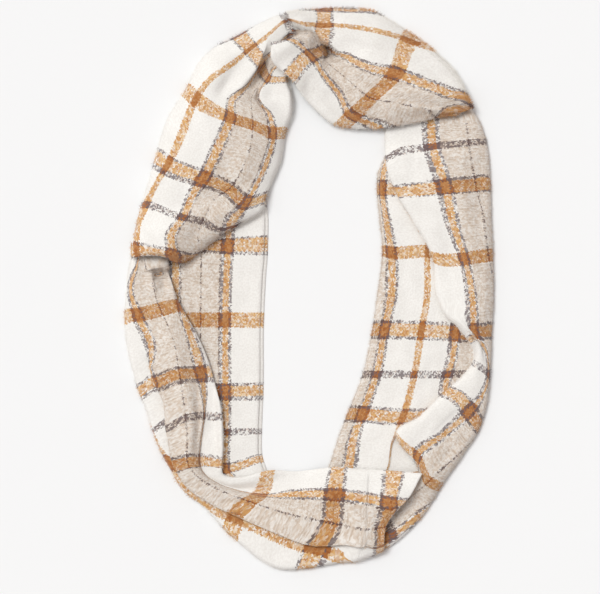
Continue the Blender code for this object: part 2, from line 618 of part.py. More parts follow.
def shifted(rows, across):
    """A table's rows moved sideways in plan."""
    return [(row[0],) + tuple((mark[0], mark[1] + across) + mark[2:] for mark in row[1:]) for row in rows]


# name, sections, kind of each side edge and main colour, from the lowest up
STRETCHES = (
    ("left_leg_backing", shifted(LEFT_UNDER, BACKING_STEP), "hem", "hem", CREAM),
    ("left_leg_under", LEFT_UNDER, "hem", "hem", CREAM),
    ("right_leg_under", RIGHT_UNDER, "fold", "hem", CREAM),
    ("right_leg_over", RIGHT_OVER, "fold", "fold", BEIGE),
    ("left_leg_over", LEFT_OVER, "fold", "hem", BEIGE),
    ("upper_left_roll", ROLL, "fold", "fold", CREAM),
    ("top_lobe", LOBE, "fold", "hem", BEIGE),
)


def side_reach(room, cloth, centre, way):
    """How far the hidden layers reach to one side before the cloth above comes down."""
    reach = 0.0
    while reach < HIDDEN_REACH:
        x = centre[0] + way[0] * (reach + HIDDEN_STEP)
        y = centre[1] + way[1] * (reach + HIDDEN_STEP)
        if room_at(room, cloth, x, y) < HIDDEN_EDGE:
            break
        reach += HIDDEN_STEP
    return max(reach - HIDDEN_INSET, HIDDEN_INSET)


def room_at(room, cloth, x, y):
    """Height left free below the cloth at a place."""
    return sampled(room, (x - cloth.start[0]) / CELL, (y - cloth.start[1]) / CELL)


def evened(values, closed):
    """Smallest of each value's neighbours, then their mean, so that a run of reaches is smooth."""
    for choose in (min, lambda near: sum(near) / len(near)):
        last = len(values) - 1
        runs = []
        for k in range(len(values)):
            places = [k + step for step in (-1, 0, 1)]
            if closed:
                near = [values[place % (last + 1)] for place in places]
            else:
                near = [values[min(max(place, 0), last)] for place in places]
            runs.append(choose(near))
        values = runs
    return values


def hidden_section(ceiling, cloth, centre, way, reaches):
    """One section of the hidden layers: flat below, layered at its sides, rounded above."""
    left, right = -reaches[0], reaches[1]
    points = []
    for side, reach in ((1, right), (-1, left)):
        profile = [(0.0, 0.0)]
        for layer in range(HIDDEN_LAYERS):
            low = HIDDEN_EDGE * layer / HIDDEN_LAYERS
            profile.append((HIDDEN_BULGE, low + 0.5 * HIDDEN_EDGE / HIDDEN_LAYERS))
            profile.append((0.0, low + HIDDEN_EDGE / HIDDEN_LAYERS))
        if side < 0:
            profile.reverse()
        points += [(reach - side * (HIDDEN_BULGE - out), height) for out, height in profile]
        if side > 0:
            for step in range(1, HIDDEN_TOPS):
                share = 1 - 2 * step / HIDDEN_TOPS
                across = 0.5 * (left + right) + 0.5 * (right - left) * share
                rise = room_at(ceiling, cloth, centre[0] + way[0] * across, centre[1] + way[1] * across)
                crown = math.sqrt(1 - share ** HIDDEN_CROWN)
                points.append((across, HIDDEN_EDGE + max(0.0, min(rise, HIDDEN_TOP) - HIDDEN_EDGE) * crown))
    return [(centre[0] + way[0] * across, centre[1] + way[1] * across, height) for across, height in points]


def hidden_layers(table, closed, ease_cells, raised, cloth):
    """The layers inside the fold: one rounded solid under the walls."""
    free = np.where(cloth.top > 0, cloth.bottom, 0.0)
    room = softened(widened(free, np.minimum, ROOM_CELLS), 1) - HIDDEN_CLEARANCE
    above = np.where(free < HIDDEN_CLEARANCE, HIDDEN_TOP, free)
    ceiling = softened(widened(above, np.minimum, ease_cells), ease_cells) - HIDDEN_CLEARANCE + raised
    path = [(0, (0, across, down, 0)) for across, down in table]
    stations = [row[0] for row in rows_between(path, HIDDEN_SPACING)]
    if closed:
        stations = stations[:-1]
    count = len(stations)
    ways = []
    for k in range(count):
        before = stations[(k - 1) % count] if closed else stations[max(k - 1, 0)]
        after = stations[(k + 1) % count] if closed else stations[min(k + 1, count - 1)]
        length = math.dist(before[:2], after[:2])
        ways.append(((after[1] - before[1]) / length, (before[0] - after[0]) / length))
    lefts = [side_reach(room, cloth, s, (-w[0], -w[1])) for s, w in zip(stations, ways)]
    rights = [side_reach(room, cloth, s, w) for s, w in zip(stations, ways)]
    reaches = list(zip(evened(lefts, closed), evened(rights, closed)))
    mesh = bmesh.new()
    rings = [[mesh.verts.new(point) for point in hidden_section(ceiling, cloth, s, w, r)]
             for s, w, r in zip(stations, ways, reaches)]
    width = len(rings[0])
    for k in range(count if closed else count - 1):
        here, ahead = rings[k], rings[(k + 1) % count]
        for c in range(width):
            mesh.faces.new((here[c], ahead[c], ahead[(c + 1) % width], here[(c + 1) % width]))
    if not closed:
        mesh.faces.new(rings[0])
        mesh.faces.new(reversed(rings[-1]))
    bmesh.ops.recalc_face_normals(mesh, faces=mesh.faces)
    bmesh.ops.triangulate(mesh, faces=mesh.faces)
    return mesh


def raised_layers(table, closed, ease_cells, cloth, laid):
    """The hidden layers, raised or lowered until they lie a seam's gap below the walls."""
    raised = 0.0
    for attempt in range(SETTLE_STEPS + 1):
        mesh = hidden_layers(table, closed, ease_cells, raised, cloth)
        least = clearance(mesh, laid)
        if attempt == SETTLE_STEPS or abs(least - SEAM_GAP) < SETTLE_SLACK:
            break
        raised += least - SEAM_GAP
        mesh.free()
    return mesh


def remember(mesh, laid):
    """Keeps a laid solid's surface and corners, which the next one is measured against."""
    laid.append((BVHTree.FromBMesh(mesh), [vertex.co.copy() for vertex in mesh.verts]))


def build():
    """The whole scarf, from the lowest stretch up."""
    for leftover in list(bpy.data.objects):
        bpy.data.objects.remove(leftover, do_unlink=True)
    collection = bpy.data.collections.new("plaid_loop_scarf")
    bpy.context.scene.collection.children.link(collection)
    cloth = LaidCloth()
    laid = []
    for name, rows, left_edge, right_edge, colour in STRETCHES:
        grids, mesh = settled_wall(rows, left_edge, right_edge, cloth, laid)
        remember(mesh, laid)
        finish(name, mesh, colour, collection)
        for grid in grids:
            cloth.add(np.array(grid))
        cloth.ease()
    for name, table, closed, ease_cells in HIDDEN:
        mesh = raised_layers(table, closed, ease_cells, cloth, laid)
        remember(mesh, laid)
        finish(name, mesh, TAN, collection)


build()
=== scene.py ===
"""Plaid loop scarf, laid flat in an oval and seen from above.

Each stretch of cloth that shows is a thin closed shell, lofted through the same sections as the
part's solids and laid on the stretches below it. The plaid is a material that reads each place
in the weave from the shells' UV map. Fibres that stand off the cloth are a mesh of their own.

Units are metres, +Z is up.
"""

import json
import math

import bpy
import numpy as np
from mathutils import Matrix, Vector

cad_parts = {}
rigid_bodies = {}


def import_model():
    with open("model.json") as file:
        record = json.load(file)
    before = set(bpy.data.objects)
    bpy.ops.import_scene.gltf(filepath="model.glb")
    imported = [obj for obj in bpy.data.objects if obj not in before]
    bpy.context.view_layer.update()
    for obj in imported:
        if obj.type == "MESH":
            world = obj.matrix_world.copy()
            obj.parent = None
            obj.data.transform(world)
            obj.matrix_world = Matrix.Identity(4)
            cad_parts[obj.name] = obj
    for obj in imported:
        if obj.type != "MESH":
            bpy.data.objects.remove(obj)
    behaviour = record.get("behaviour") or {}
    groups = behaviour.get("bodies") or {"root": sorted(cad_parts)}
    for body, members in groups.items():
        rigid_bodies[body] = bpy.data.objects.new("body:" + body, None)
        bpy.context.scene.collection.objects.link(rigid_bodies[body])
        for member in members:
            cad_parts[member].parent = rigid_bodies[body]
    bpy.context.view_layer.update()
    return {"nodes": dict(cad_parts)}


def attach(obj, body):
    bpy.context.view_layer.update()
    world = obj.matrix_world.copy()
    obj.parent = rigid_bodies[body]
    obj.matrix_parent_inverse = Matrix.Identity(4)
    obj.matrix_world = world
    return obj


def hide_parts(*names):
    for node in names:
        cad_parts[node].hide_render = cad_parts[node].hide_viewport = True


# Sizes shared with the part. The tables place the cloth in plan units, across and down.
LAID_LENGTH = 0.660
PLAN_LENGTH = 563
UNIT = LAID_LENGTH / PLAN_LENGTH
PLAN_CENTRE_ACROSS = 309.05
PLAN_CENTRE_DOWN = 289.23
MILLIMETRE = 0.001
WALL = 0.0026
BACKING_STEP = 3.5

# Folded edges: how far in the roll reaches, how much cloth turns under, and least height
ROLL_REACH = 0.0052
RETURN_LENGTH = 0.0085
SMALLEST_FOLD = 2 * WALL + 0.0014

# Hems: how far in they grow thinner, and the share of the wall left at the edge
HEM_REACH = 0.0035
LEAST_EDGE = 0.2

# Fineness of the shells: plan units along and across, and steps round an edge
ALONG_SPACING = 2.0
ACROSS_SPACING = 1.7
ROLL_POINTS = 6
HEM_POINTS = 3
SHORTEST_STEP = 0.2 * UNIT
MOST_OF_INTERVAL = 0.9

# A mark holds x, y, lift, weave and weft; only the plan axes may overshoot between marks
MARK_VALUES = 5
PLAN_AXES = 2

# Grid that the heights of the laid cloth are kept on
CELL = 0.003
MARGIN_CELLS = 20
EASE_CELLS = 3
FACE_SAMPLES = 3
NOTHING_ABOVE = 1.0

# Clearance that a shell is laid with, and the least height of its points above the floor
FIRST_GAP = 0.0008
FLOOR_GAP = 0.0002

# The plaid's repeat across and along the cloth, in plan units
WEAVE_REPEAT = 256
WEFT_REPEAT = 230


def seen(red, green, blue):
    """A colour given as it looks on a screen, 0 to 255, as scene values (the sRGB curve)."""
    return tuple(((value / 255 + 0.055) / 1.055) ** 2.4 for value in (red, green, blue)) + (1.0,)


# Colour of each yarn, and how far it covers the one it crosses
YARNS = {
    "cream": (seen(243, 240, 235), 0.0),
    "orange": (seen(198, 134, 64), 0.045),
    "grey": (seen(130, 120, 121), 0.16),
}
# A cover above the first is orange or grey, and above the second it is grey
COLOURED_COVER = 0.01
GREY_COVER = 0.07
# Stripes of the warp from the hem to the middle, and of the weft along one repeat
WARP = ((0, "cream"), (28.8, "grey"), (32, "orange"), (39, "grey"), (42.2, "cream"), (61, "grey"),
        (63, "cream"), (81.8, "grey"), (85, "orange"), (92, "grey"), (95.2, "cream"), (124, "orange"))
WEFT = ((0, "orange"), (5.5, "grey"), (8.7, "cream"), (66, "orange"), (80, "cream"), (137.3, "grey"),
        (140.5, "orange"), (151.5, "grey"), (154.7, "cream"), (184.5, "grey"), (191.5, "cream"),
        (221.3, "grey"), (224.5, "orange"))
# Part of the warp that is tinted beige, as (start, share)
BEIGE_BAND = ((0, 0.0), (41, 1.0), (83, 0.0))

# How yarns lie: their pitch and wander in plan units, and what settles which one lies on top
YARN_PITCH = 1.5
YARN_WANDER = 3.4
TWILL_YARNS = 2
TWILL_HALF = 0.49
WEAVE_CHANCE = 0.7
WARP_LEAD = 0.03
GREY_YIELDS = 0.12
BEIGE_YIELDS = -0.12
WEAVE_SOFTNESS = 0.13
FUZZ_SHOW = 0.06

# Yarns that differ from the rest, and what two coloured yarns make where they cross
YARN_LIGHTER = 0.8
YARN_GOLD = seen(226, 186, 126)
SHADED_CHANCE = 0.78
YARN_DEEPER = 0.7
YARN_SHADE = (0.74, 0.62, 0.56, 1)
CROSSING_DARK = 0.8
CROSSING_COLOUR = (0.68, 0.52, 0.5, 1)

# Tints of the cloth: the beige, its ribs, large clouds and small flecks
BEIGE_TINT = (0.74, 0.63, 0.54, 1)
BEIGE_VARIES = 0.45
BEIGE_SPECK = 0.5
SPECK_CHANCE = 0.62
RIB_PITCH = 2.8
RIB_WAVER = 2.5
RIB_PATCH = (0.4, 0.65)
RIB_DARK = 0.6
RIB_COLOUR = (0.78, 0.72, 0.66, 1)
CLOUD_DARK = 0.5
CLOUD_COLOUR = (0.92, 0.915, 0.91, 1)
FLECK_DARK = 0.7
FLECK_COLOUR = (0.90, 0.885, 0.875, 1)
NOISE_SPAN = (0.3, 0.7)

# Noises: size in each direction in plan units, detail and offset
WARP_NOISE = (2.1, 1.5, 1.0, 3.1)
WEFT_NOISE = (2.1, 1.5, 1.0, 17.7)
WAVER_NOISE = (9.0, 3.0, 1.0, 9.3)
PATCH_NOISE = (11.0, 7.0, 1.0, 23.0)
MOTTLE_NOISE = (3.2, 2.6, 2.0, 57.0)
CLOUD_NOISE = (14.0, 20.0, 2.0, 5.0)
FLECK_NOISE = (1.8, 1.8, 2.0, 71.0)
NAP_NOISE = (2.2, 2.2, 3.0, 41.0)

# Finish of the cloth, and how far yarns and ribs stand out
CLOTH_FINISH = {"Roughness": 0.95, "Metallic": 0.0, "Specular IOR Level": 0.15,
                "Sheen Weight": 0.25, "Sheen Roughness": 0.6}
BUMP_STRENGTH = 0.6
BUMP_DISTANCE = 0.0006
YARN_BUMP = 0.3
RIB_BUMP = 0.5

# Fibres that stand off each stretch: how many, their size, and how they lean
FUZZ_COUNT = 19000
FUZZ_LENGTH = 0.0032
FUZZ_WIDTH = 0.00026
FUZZ_LOWEST_SLOPE = -0.2
FUZZ_ON_FLAT = 0.06
FUZZ_FLAT_LENGTH = 0.6
FUZZ_LEAN = 1.2
FUZZ_BEND_AT = 0.55
FUZZ_BEND = 0.6
FUZZ_TAPER = 0.8
FUZZ_ASIDE = (0.1, 0.2, 1.0)
FUZZ_CORNERS = 5
FUZZ_FACES = ((0, 1, 3), (0, 3, 2), (2, 3, 4))
FUZZ_SEED = 100

# Unevenness of the cloth: cell across and along the weave in plan units, and height in mm
UNEVENNESS = ((34, 46, 0.7), (16, 22, 0.45), (11, 5, 0.22))
NOISE_SIZE = 512
NOISE = np.pad(np.random.default_rng(7).random((NOISE_SIZE, NOISE_SIZE)) * 2 - 1, (0, 1), "wrap")

# Creases: how much their width varies, in how many waves, and where their fading ends stop
CREASE_UNEVEN = 0.4
CREASE_WAVES = 4
CREASE_ENDS = (0.03, 0.97)

# The layers inside: room kept below the cloth, and the place in the weave that they start from
INNER_GAP = 0.001
ROOM_CELLS = 1
INNER_WEAVE = 62

# Floor, camera and lights
FLOOR_FINISH = {"Base Color": (0.86, 0.86, 0.86, 1), "Roughness": 0.9, "Specular IOR Level": 0.0}
FLOOR_HALF = 3.0
PHOTO_MIDDLE = (300, 297)
PHOTO_WIDTH = 600
CAMERA_LENS = 180
CAMERA_REACH = 50
WORLD_COLOUR = (1.0, 0.925, 0.915, 1)
WORLD_STRENGTH = 0.37
# name, direction it comes from, angle in degrees, strength, colour
LIGHTS = (
    ("overhead_softbox", (-0.35, 0.35, 1.0), 110, 0.68, (0.965, 1.0, 1.0)),
    ("window", (-0.5, 0.45, 1.25), 25, 1.95, (0.975, 1.0, 1.0)),
)

# Section tables. Each row has its place along the weave (weft), then one mark for each column:
# (place across the weave, across, down, lift in mm), and its own weft place where that differs.
# A mark without a lift lies flat.

# Left leg, lower band. Columns: left edge, line, thin line, line, inner hem
LEFT_UNDER = (
    (-55, (158, 172, 235), (167.5, 180, 232), (194, 204, 222), (220.5, 230, 212), (256, 262, 199)),
    (-30, (158, 170, 240), (167.5, 178, 238), (194, 203, 231), (220.5, 229.5, 221), (256, 264.5, 212)),
    (0, (158, 168, 246), (167.5, 176.5, 246), (194, 201.5, 245.5), (220.5, 228.5, 245.5),
     (256, 264.5, 245)),
    (31, (158, 168, 277), (167.5, 176, 277), (194, 201, 277), (220.5, 226.5, 277), (256, 262.5, 277)),
    (73, (162, 171, 319), (170, 178, 319), (194, 200.5, 319.5), (220.5, 225.5, 319.5), (256, 260.5, 319.5)),
    (146, (182, 188, 391), (185, 191, 391), (198, 203, 391), (220.5, 225.5, 391), (256, 260, 390)),
    (188, (186, 194, 431), (189, 197, 431), (199, 205, 431), (220.5, 225.5, 431.5), (256, 258.5, 431)),
    (219, (186, 194, 455), (189, 197, 455), (199, 205, 458), (220.5, 224.5, 460), (256, 258.5, 452)),
    (234, (186, 204, 472), (189, 206, 472), (199, 212, 472), (220.5, 226, 471), (256, 260, 460)),
    (258, (186, 217, 485), (189, 219, 485), (199, 225, 484), (220.5, 238, 481), (256, 265, 473)),
)

# Left leg and foot of the oval, upper band.
# Columns: outer fold, foot of the pleat, its crest, thin line, inner fold, its foot, hem
LEFT_OVER = (
    (-20, (85, 140, 226, 7), (82, 143, 226, 7), (80, 145, 226, 7), (62, 158, 227, 7), (52, 168, 228, 7),
     (50, 171, 228, 7), (47, 178, 229, 6)),
    (20, (112, 131, 258, 9), (104, 134, 258, 12), (96, 137.5, 258, 13), (62, 145, 260, 14),
     (52, 158, 261, 12), (49, 162, 261, 11), (47, 168, 262, 8)),
    (45, (97, 127, 286, 9), (91, 130, 286, 13), (86, 132.5, 286, 15), (62, 150.5, 285, 16),
     (50, 164, 284, 13), (48, 167, 284, 12), (46, 172, 284, 9)),
    (73, (106, 125, 317, 9), (96.5, 131.5, 315, 14), (95.5, 132.5, 315, 14.5), (62, 161, 308.5, 17),
     (45, 174, 305, 14), (42, 177, 304.5, 12), (38, 180.5, 304, 9)),
    (104, (114, 127.5, 346, 9), (96.5, 142.5, 341, 15), (95.5, 143.5, 341, 15.5), (62, 173.5, 337, 18),
     (42, 185.5, 335, 14), (31, 194, 334, 10), (28, 197, 333.5, 8)),
    (146, (118, 139.5, 392, 9), (97, 156.5, 380, 15), (95, 155.5, 381, 17), (62, 180.5, 373, 19),
     (42, 195, 373, 14), (31, 205.5, 372, 9), (22, 212, 371, 7)),
    (167, (122, 146, 408, 9), (100, 165.5, 399, 14), (82, 164, 401, 19), (62, 184, 395, 20),
     (42, 201, 393, 14), (31, 206.5, 393, 8), (14, 217.5, 394, 7)),
    (188, (125, 153, 430, 9), (107, 168, 422, 13), (81, 166, 427, 19), (62, 186.5, 417, 20),
     (43, 203.5, 415, 13), (28, 206, 415.5, 7), (5, 221.5, 415, 6)),
    (209, (126, 159, 446, 9), (111, 171.5, 440, 13), (80, 169.5, 443, 19), (62, 188.5, 437, 20),
     (44, 200.5, 437, 13), (27, 203, 437, 6), (3, 223, 441, 6)),
    (230, (129, 166.5, 461, 9), (116, 176, 463, 12), (80, 174, 464, 18), (62, 188.5, 461, 19),
     (46, 198.5, 461, 13), (26, 201, 461, 6), (2, 222, 463, 6)),
    (254, (131, 182, 488, 9), (118, 188.5, 483, 12), (79, 186.5, 485, 17), (62, 199.5, 476.5, 17),
     (56, 203.5, 474, 12), (24, 206, 473, 6), (0, 224, 474, 5)),
    (278, (133, 204, 507, 9), (112, 210, 498.5, 12), (79, 208.5, 501, 16), (62, 220, 488.5, 16),
     (57, 222.5, 486, 12), (20, 224, 484.5, 6), (0, 239, 477, 5)),
    (303, (140, 229, 533, 9), (108, 235, 511, 13), (79, 233.5, 513, 17), (62, 249, 500, 17),
     (46, 257, 496, 14), (28, 261, 493, 8), (0, 268, 470, 6)),
    (338, (147, 270, 565, 9), (100.5, 280.5, 530, 13), (79, 279, 532.5, 18), (62, 287, 512, 19),
     (43, 291, 499, 16), (29, 293, 489, 13), (0, 298, 471, 7)),
    (376, (144, 304, 568, 9), (104, 317, 540, 13), (80, 315, 544, 17), (62, 330.5, 521, 19),
     (43, 332.5, 501, 17), (29.5, 334, 487.5, 15), (0, 337.5, 466, 7)),
    (394, (130, 342, 562, 9), (104, 349, 541, 12), (78, 348, 543.5, 16), (62, 353, 525.5, 18),
     (43, 354.5, 504, 17), (29, 356, 489.5, 15), (0, 357, 468, 7)),
    (404, (124, 356.5, 560.7, 9), (102, 361.5, 543, 12), (78, 360.5, 545.5, 15), (62, 364.5, 527.5, 17),
     (43, 366, 505.5, 17), (29, 367, 491, 15), (0, 367.5, 468.5, 7)),
    (442, (124, 357, 560.5, 9), (102, 362, 543, 12), (78, 361, 545.5, 15), (62, 365, 527.5, 17),
     (43, 366.5, 505.5, 17), (29, 367.5, 491, 15), (0, 368, 468.5, 7)),
    (448, (121, 362, 558.5, 9), (102, 365, 546.5, 11), (79, 366, 544.5, 14), (62, 369, 527.3, 16),
     (43, 373, 507, 17), (29, 375, 492.5, 15), (0, 376.5, 469, 7)),
    (460, (118, 373, 554.5, 8, 452), (104, 373.5, 548.5, 10, 452), (82, 374, 546.5, 12, 452),
     (62, 376, 527, 15, 453), (43, 387, 509.5, 16, 458), (29.5, 390, 495.5, 15), (0, 393.5, 470, 7)),
    (484, (108, 384, 549, 7, 467), (100, 384, 546, 8, 467), (84, 384, 543, 9, 467),
     (62, 386, 525, 11, 467), (43, 398.5, 507.5, 12, 470), (29, 407.5, 497, 12), (0, 421.5, 472, 7)),
)

# Right leg, lower band. Columns: fold at the opening, line, middle, line, covered edge
RIGHT_UNDER = (
    (198, (176, 386, 154, 6), (167.5, 389, 154, 6), (140, 408, 155, 6), (110, 436, 155, 6),
     (80, 462, 155, 6)),
    (212, (176, 379.5, 169, 7), (167.5, 384, 169, 7), (140, 408, 169, 7), (110, 436, 169, 7),
     (80, 462, 169, 6)),
    (230, (177, 377.5, 188, 8), (167.5, 381.5, 188, 9), (140, 408, 189, 8), (110, 436, 189, 7),
     (80, 462, 189, 7)),
    (267, (177.5, 380.5, 222, 8), (167.5, 385.5, 222, 9), (134, 424.5, 222, 8), (122, 431, 222, 7),
     (80, 466, 222, 6)),
    (303, (177, 383, 250, 8), (167.5, 390.5, 251.5, 9), (131, 425, 250.5, 8), (121, 431, 251, 6),
     (75, 474, 252, 4)),
    (345, (180, 377.5, 297, 8), (167.5, 390.5, 297, 9), (128, 427, 297, 8), (95, 455, 298, 6),
     (72, 474, 298, 4)),
    (376, (183, 373, 329, 8), (167.5, 384, 329, 9), (128, 421.5, 330, 9), (88.5, 455.5, 332, 6),
     (66, 476, 334, 4)),
    (418, (184, 363.5, 373, 8), (167.5, 376, 373, 9), (128, 414.5, 373, 9), (88.5, 448, 373, 6),
     (62, 474, 372, 4)),
    (460, (184, 348.5, 413, 8), (167.5, 361.5, 413.5, 9), (128, 403, 416.5, 9), (98, 430, 414, 6),
     (80, 446, 409, 4)),
    (490, (184, 338, 441, 8), (167.5, 352, 441, 9), (134, 390.5, 441, 9), (121, 395.5, 440, 6),
     (98, 425, 436, 4)),
    (517, (184, 331, 463, 8), (167.5, 348, 466, 8), (134, 386.5, 466, 9), (121, 390.5, 466, 7),
     (90, 429, 463, 5)),
    (548, (184, 323, 488, 7), (167.5, 339, 490, 8), (134, 375, 491, 8), (121, 380, 490, 7),
     (96, 410, 486, 6)),
)

# Right leg, upper band. Columns: inner fold, crest, line, thin line, line, outer fold
RIGHT_OVER = (
    (130, (123, 394, 96, 7), (119, 400, 96, 8), (88.5, 428, 94, 9, 140), (70, 446, 94, 8, 156),
     (62, 453, 95, 7, 156), (56, 459, 96, 7, 156)),
    (160, (123, 386, 126, 7), (118, 393, 125, 9), (88.5, 430.5, 121, 12), (62, 464.5, 120, 13),
     (55, 471, 119, 12), (48, 477.5, 119, 9)),
    (188, (123, 385.5, 159, 7), (117, 396, 153.5, 10), (88.5, 432, 147, 13), (62, 468, 143, 14),
     (55, 476, 142, 13), (46, 486, 142, 9)),
    (230, (123, 395.5, 192, 7), (116, 406, 191, 9), (88.5, 444.5, 187, 13), (62, 475, 184, 14),
     (54, 482.5, 183, 13), (46, 490, 183, 9)),
    (267, (124, 413, 222, 7), (116, 422, 222, 9), (88.5, 451.5, 222, 13), (62, 483.5, 222, 14),
     (59, 486.5, 222, 12), (52, 491, 222, 9)),
    (303, (123, 432, 257, 7), (116, 441, 259.5, 9), (88.5, 463.5, 258.5, 13), (66, 483.5, 255, 14),
     (62, 488, 254.5, 12), (57, 492.5, 254, 9)),
    (345, (121, 436.5, 298, 7), (112, 446, 298, 9), (88.5, 471.5, 298, 14), (74, 483.5, 298, 14),
     (70, 488, 298, 12), (65, 493, 298, 9)),
    (366, (112, 447, 318, 9, 350), (104, 455, 317, 12, 350), (88.5, 472.5, 321, 16), (76, 483, 321, 15),
     (71, 487, 320, 12), (66, 492, 320, 9)),
    (382, (114, 457, 327, 10, 352), (106, 464, 325, 14, 352), (90, 472, 335, 13), (80, 483, 336, 12),
     (75, 487, 336, 11), (68, 491, 336, 9)),
    (400, (116, 472.5, 349, 11, 396), (108, 479, 346, 15, 396), (100, 482, 352, 13, 400),
     (88, 486.5, 354, 11, 400), (82, 488, 354, 10, 400), (75, 490.5, 355, 9, 400)),
    (418, (118, 472.5, 361, 10), (110, 478.5, 364.5, 13), (98, 484.5, 369, 13), (93, 486.5, 371, 12),
     (90, 487.5, 372, 11), (84, 489.5, 374, 9)),
    (439, (122, 458, 379.5, 9), (112, 468, 384, 12), (88.5, 482.5, 394, 13), (82, 484.5, 397, 12),
     (79, 485.5, 399, 11), (73, 487, 402, 9)),
    (460, (123, 446, 390, 8), (112, 456, 394, 11), (88.5, 469, 410.5, 14), (80, 474, 418, 13),
     (75, 476.5, 422, 12), (67, 480, 426, 9)),
    (496, (124, 420, 415, 8), (112, 430, 422, 11), (88.5, 444, 433, 14), (70, 455, 445, 14),
     (64, 460, 450, 12), (58, 463.5, 453, 9)),
    (533, (122, 397, 438, 8), (112, 403, 445, 10), (88.5, 416.5, 456.5, 12), (62, 428, 481, 14),
     (56, 433, 484, 13), (49, 440, 487, 9)),
    (560, (86, 420, 469.5, 7), (80, 421.5, 473, 9), (74, 420, 478, 10), (62, 418.5, 489.5, 12),
     (50, 427, 495, 12), (43, 433, 499, 9)),
    (583, (76, 402, 487, 7), (72, 403, 491, 8), (68, 404, 496, 9), (62, 404, 502, 8), (43, 414, 511, 11),
     (33, 420, 518, 8)),
    (606, (76, 374, 505, 7), (72, 375, 509, 8), (68, 376, 513, 8), (62, 377, 519, 8), (40, 380.5, 535, 8),
     (22, 382, 549, 7)),
    (622, (76, 352, 507, 6), (72, 353, 511, 5.5), (68, 354, 515, 5.5), (62, 355, 519, 5.5),
     (40, 356, 532, 5.5), (22, 358, 545, 6)),
)

# Roll at the upper left. Columns: outer fold, middle, line, thin line, line, inner fold
ROLL = (
    (-60, (106, 301, 21, 7), (128, 304, 30, 8), (150, 307, 39, 8), (190, 307, 50, 7), (215, 306, 62, 6),
     (250, 303, 74, 6)),
    (-42, (104, 283.5, 15.5, 10), (128, 287, 22, 14), (150, 290.5, 31, 15), (190, 291, 42, 9),
     (215, 291, 58, 7), (250, 289, 72, 7)),
    (-20, (98, 262, 23, 10), (128, 268, 36, 18), (155, 272, 48, 18), (190, 272, 62, 11),
     (216, 273, 68, 9), (254, 289, 74, 11)),
    (0, (92, 238.5, 35.5, 10), (128, 250.5, 50, 20), (160, 258.5, 62, 18), (190, 265, 73, 10),
     (216, 268, 78, 11), (254, 287, 80, 16)),
    (30, (97, 213, 49.5, 11), (128, 231, 66, 23), (167.5, 245.5, 88, 21), (194, 252, 98, 16),
     (226, 263, 97, 14), (256, 292, 96, 17)),
    (50, (103, 198, 65, 11), (128, 211, 80.5, 25), (167.5, 232.5, 102, 25), (194, 251.5, 109, 22),
     (220.5, 269, 112, 17), (253, 292, 113, 15)),
    (73, (112, 185.5, 90.5, 12), (128, 196.5, 99.5, 23), (167.5, 231.5, 118.5, 29), (194, 253, 126, 27),
     (220.5, 273.5, 134.5, 20), (240, 285.5, 133, 11)),
    (110, (113, 169.5, 116, 12), (128, 182.5, 135, 23), (167.5, 219, 148, 30), (194, 249, 153, 27),
     (220.5, 268, 160, 19), (240, 281, 160, 11)),
    (146, (110, 156, 157, 12), (128, 168.5, 164.5, 22), (167.5, 204.5, 179, 29), (194, 229, 190, 26),
     (220.5, 246.5, 204, 18), (246, 265.5, 198, 10)),
    (165, (115, 150, 179, 11), (128, 157, 184, 19), (167.5, 194, 196, 27), (194, 215, 199.5, 25),
     (220.5, 237, 216, 17), (238, 262, 211, 9)),
    (188, (124, 142, 204, 11), (128, 146.5, 204.5, 15), (167.5, 184.5, 218, 25), (194, 203, 222, 23),
     (212, 219, 230, 16), (224, 236, 226, 9)),
    (209, (126, 137, 226, 10), (130, 140, 227, 14), (167.5, 173, 235, 23), (188, 192, 240, 21),
     (198, 203, 243, 15), (208, 213, 241.5, 9)),
    (230, (122, 132, 250, 9), (132, 141, 251, 13), (165, 171, 255, 19), (172, 181, 258, 17),
     (180, 187, 259, 12), (186, 193, 257.5, 8)),
    (238, (122, 133, 258, 7), (130, 141, 257, 8), (160, 166, 258, 12), (166, 174, 262, 12),
     (170, 179, 264, 10), (174, 184, 263, 7)),
)

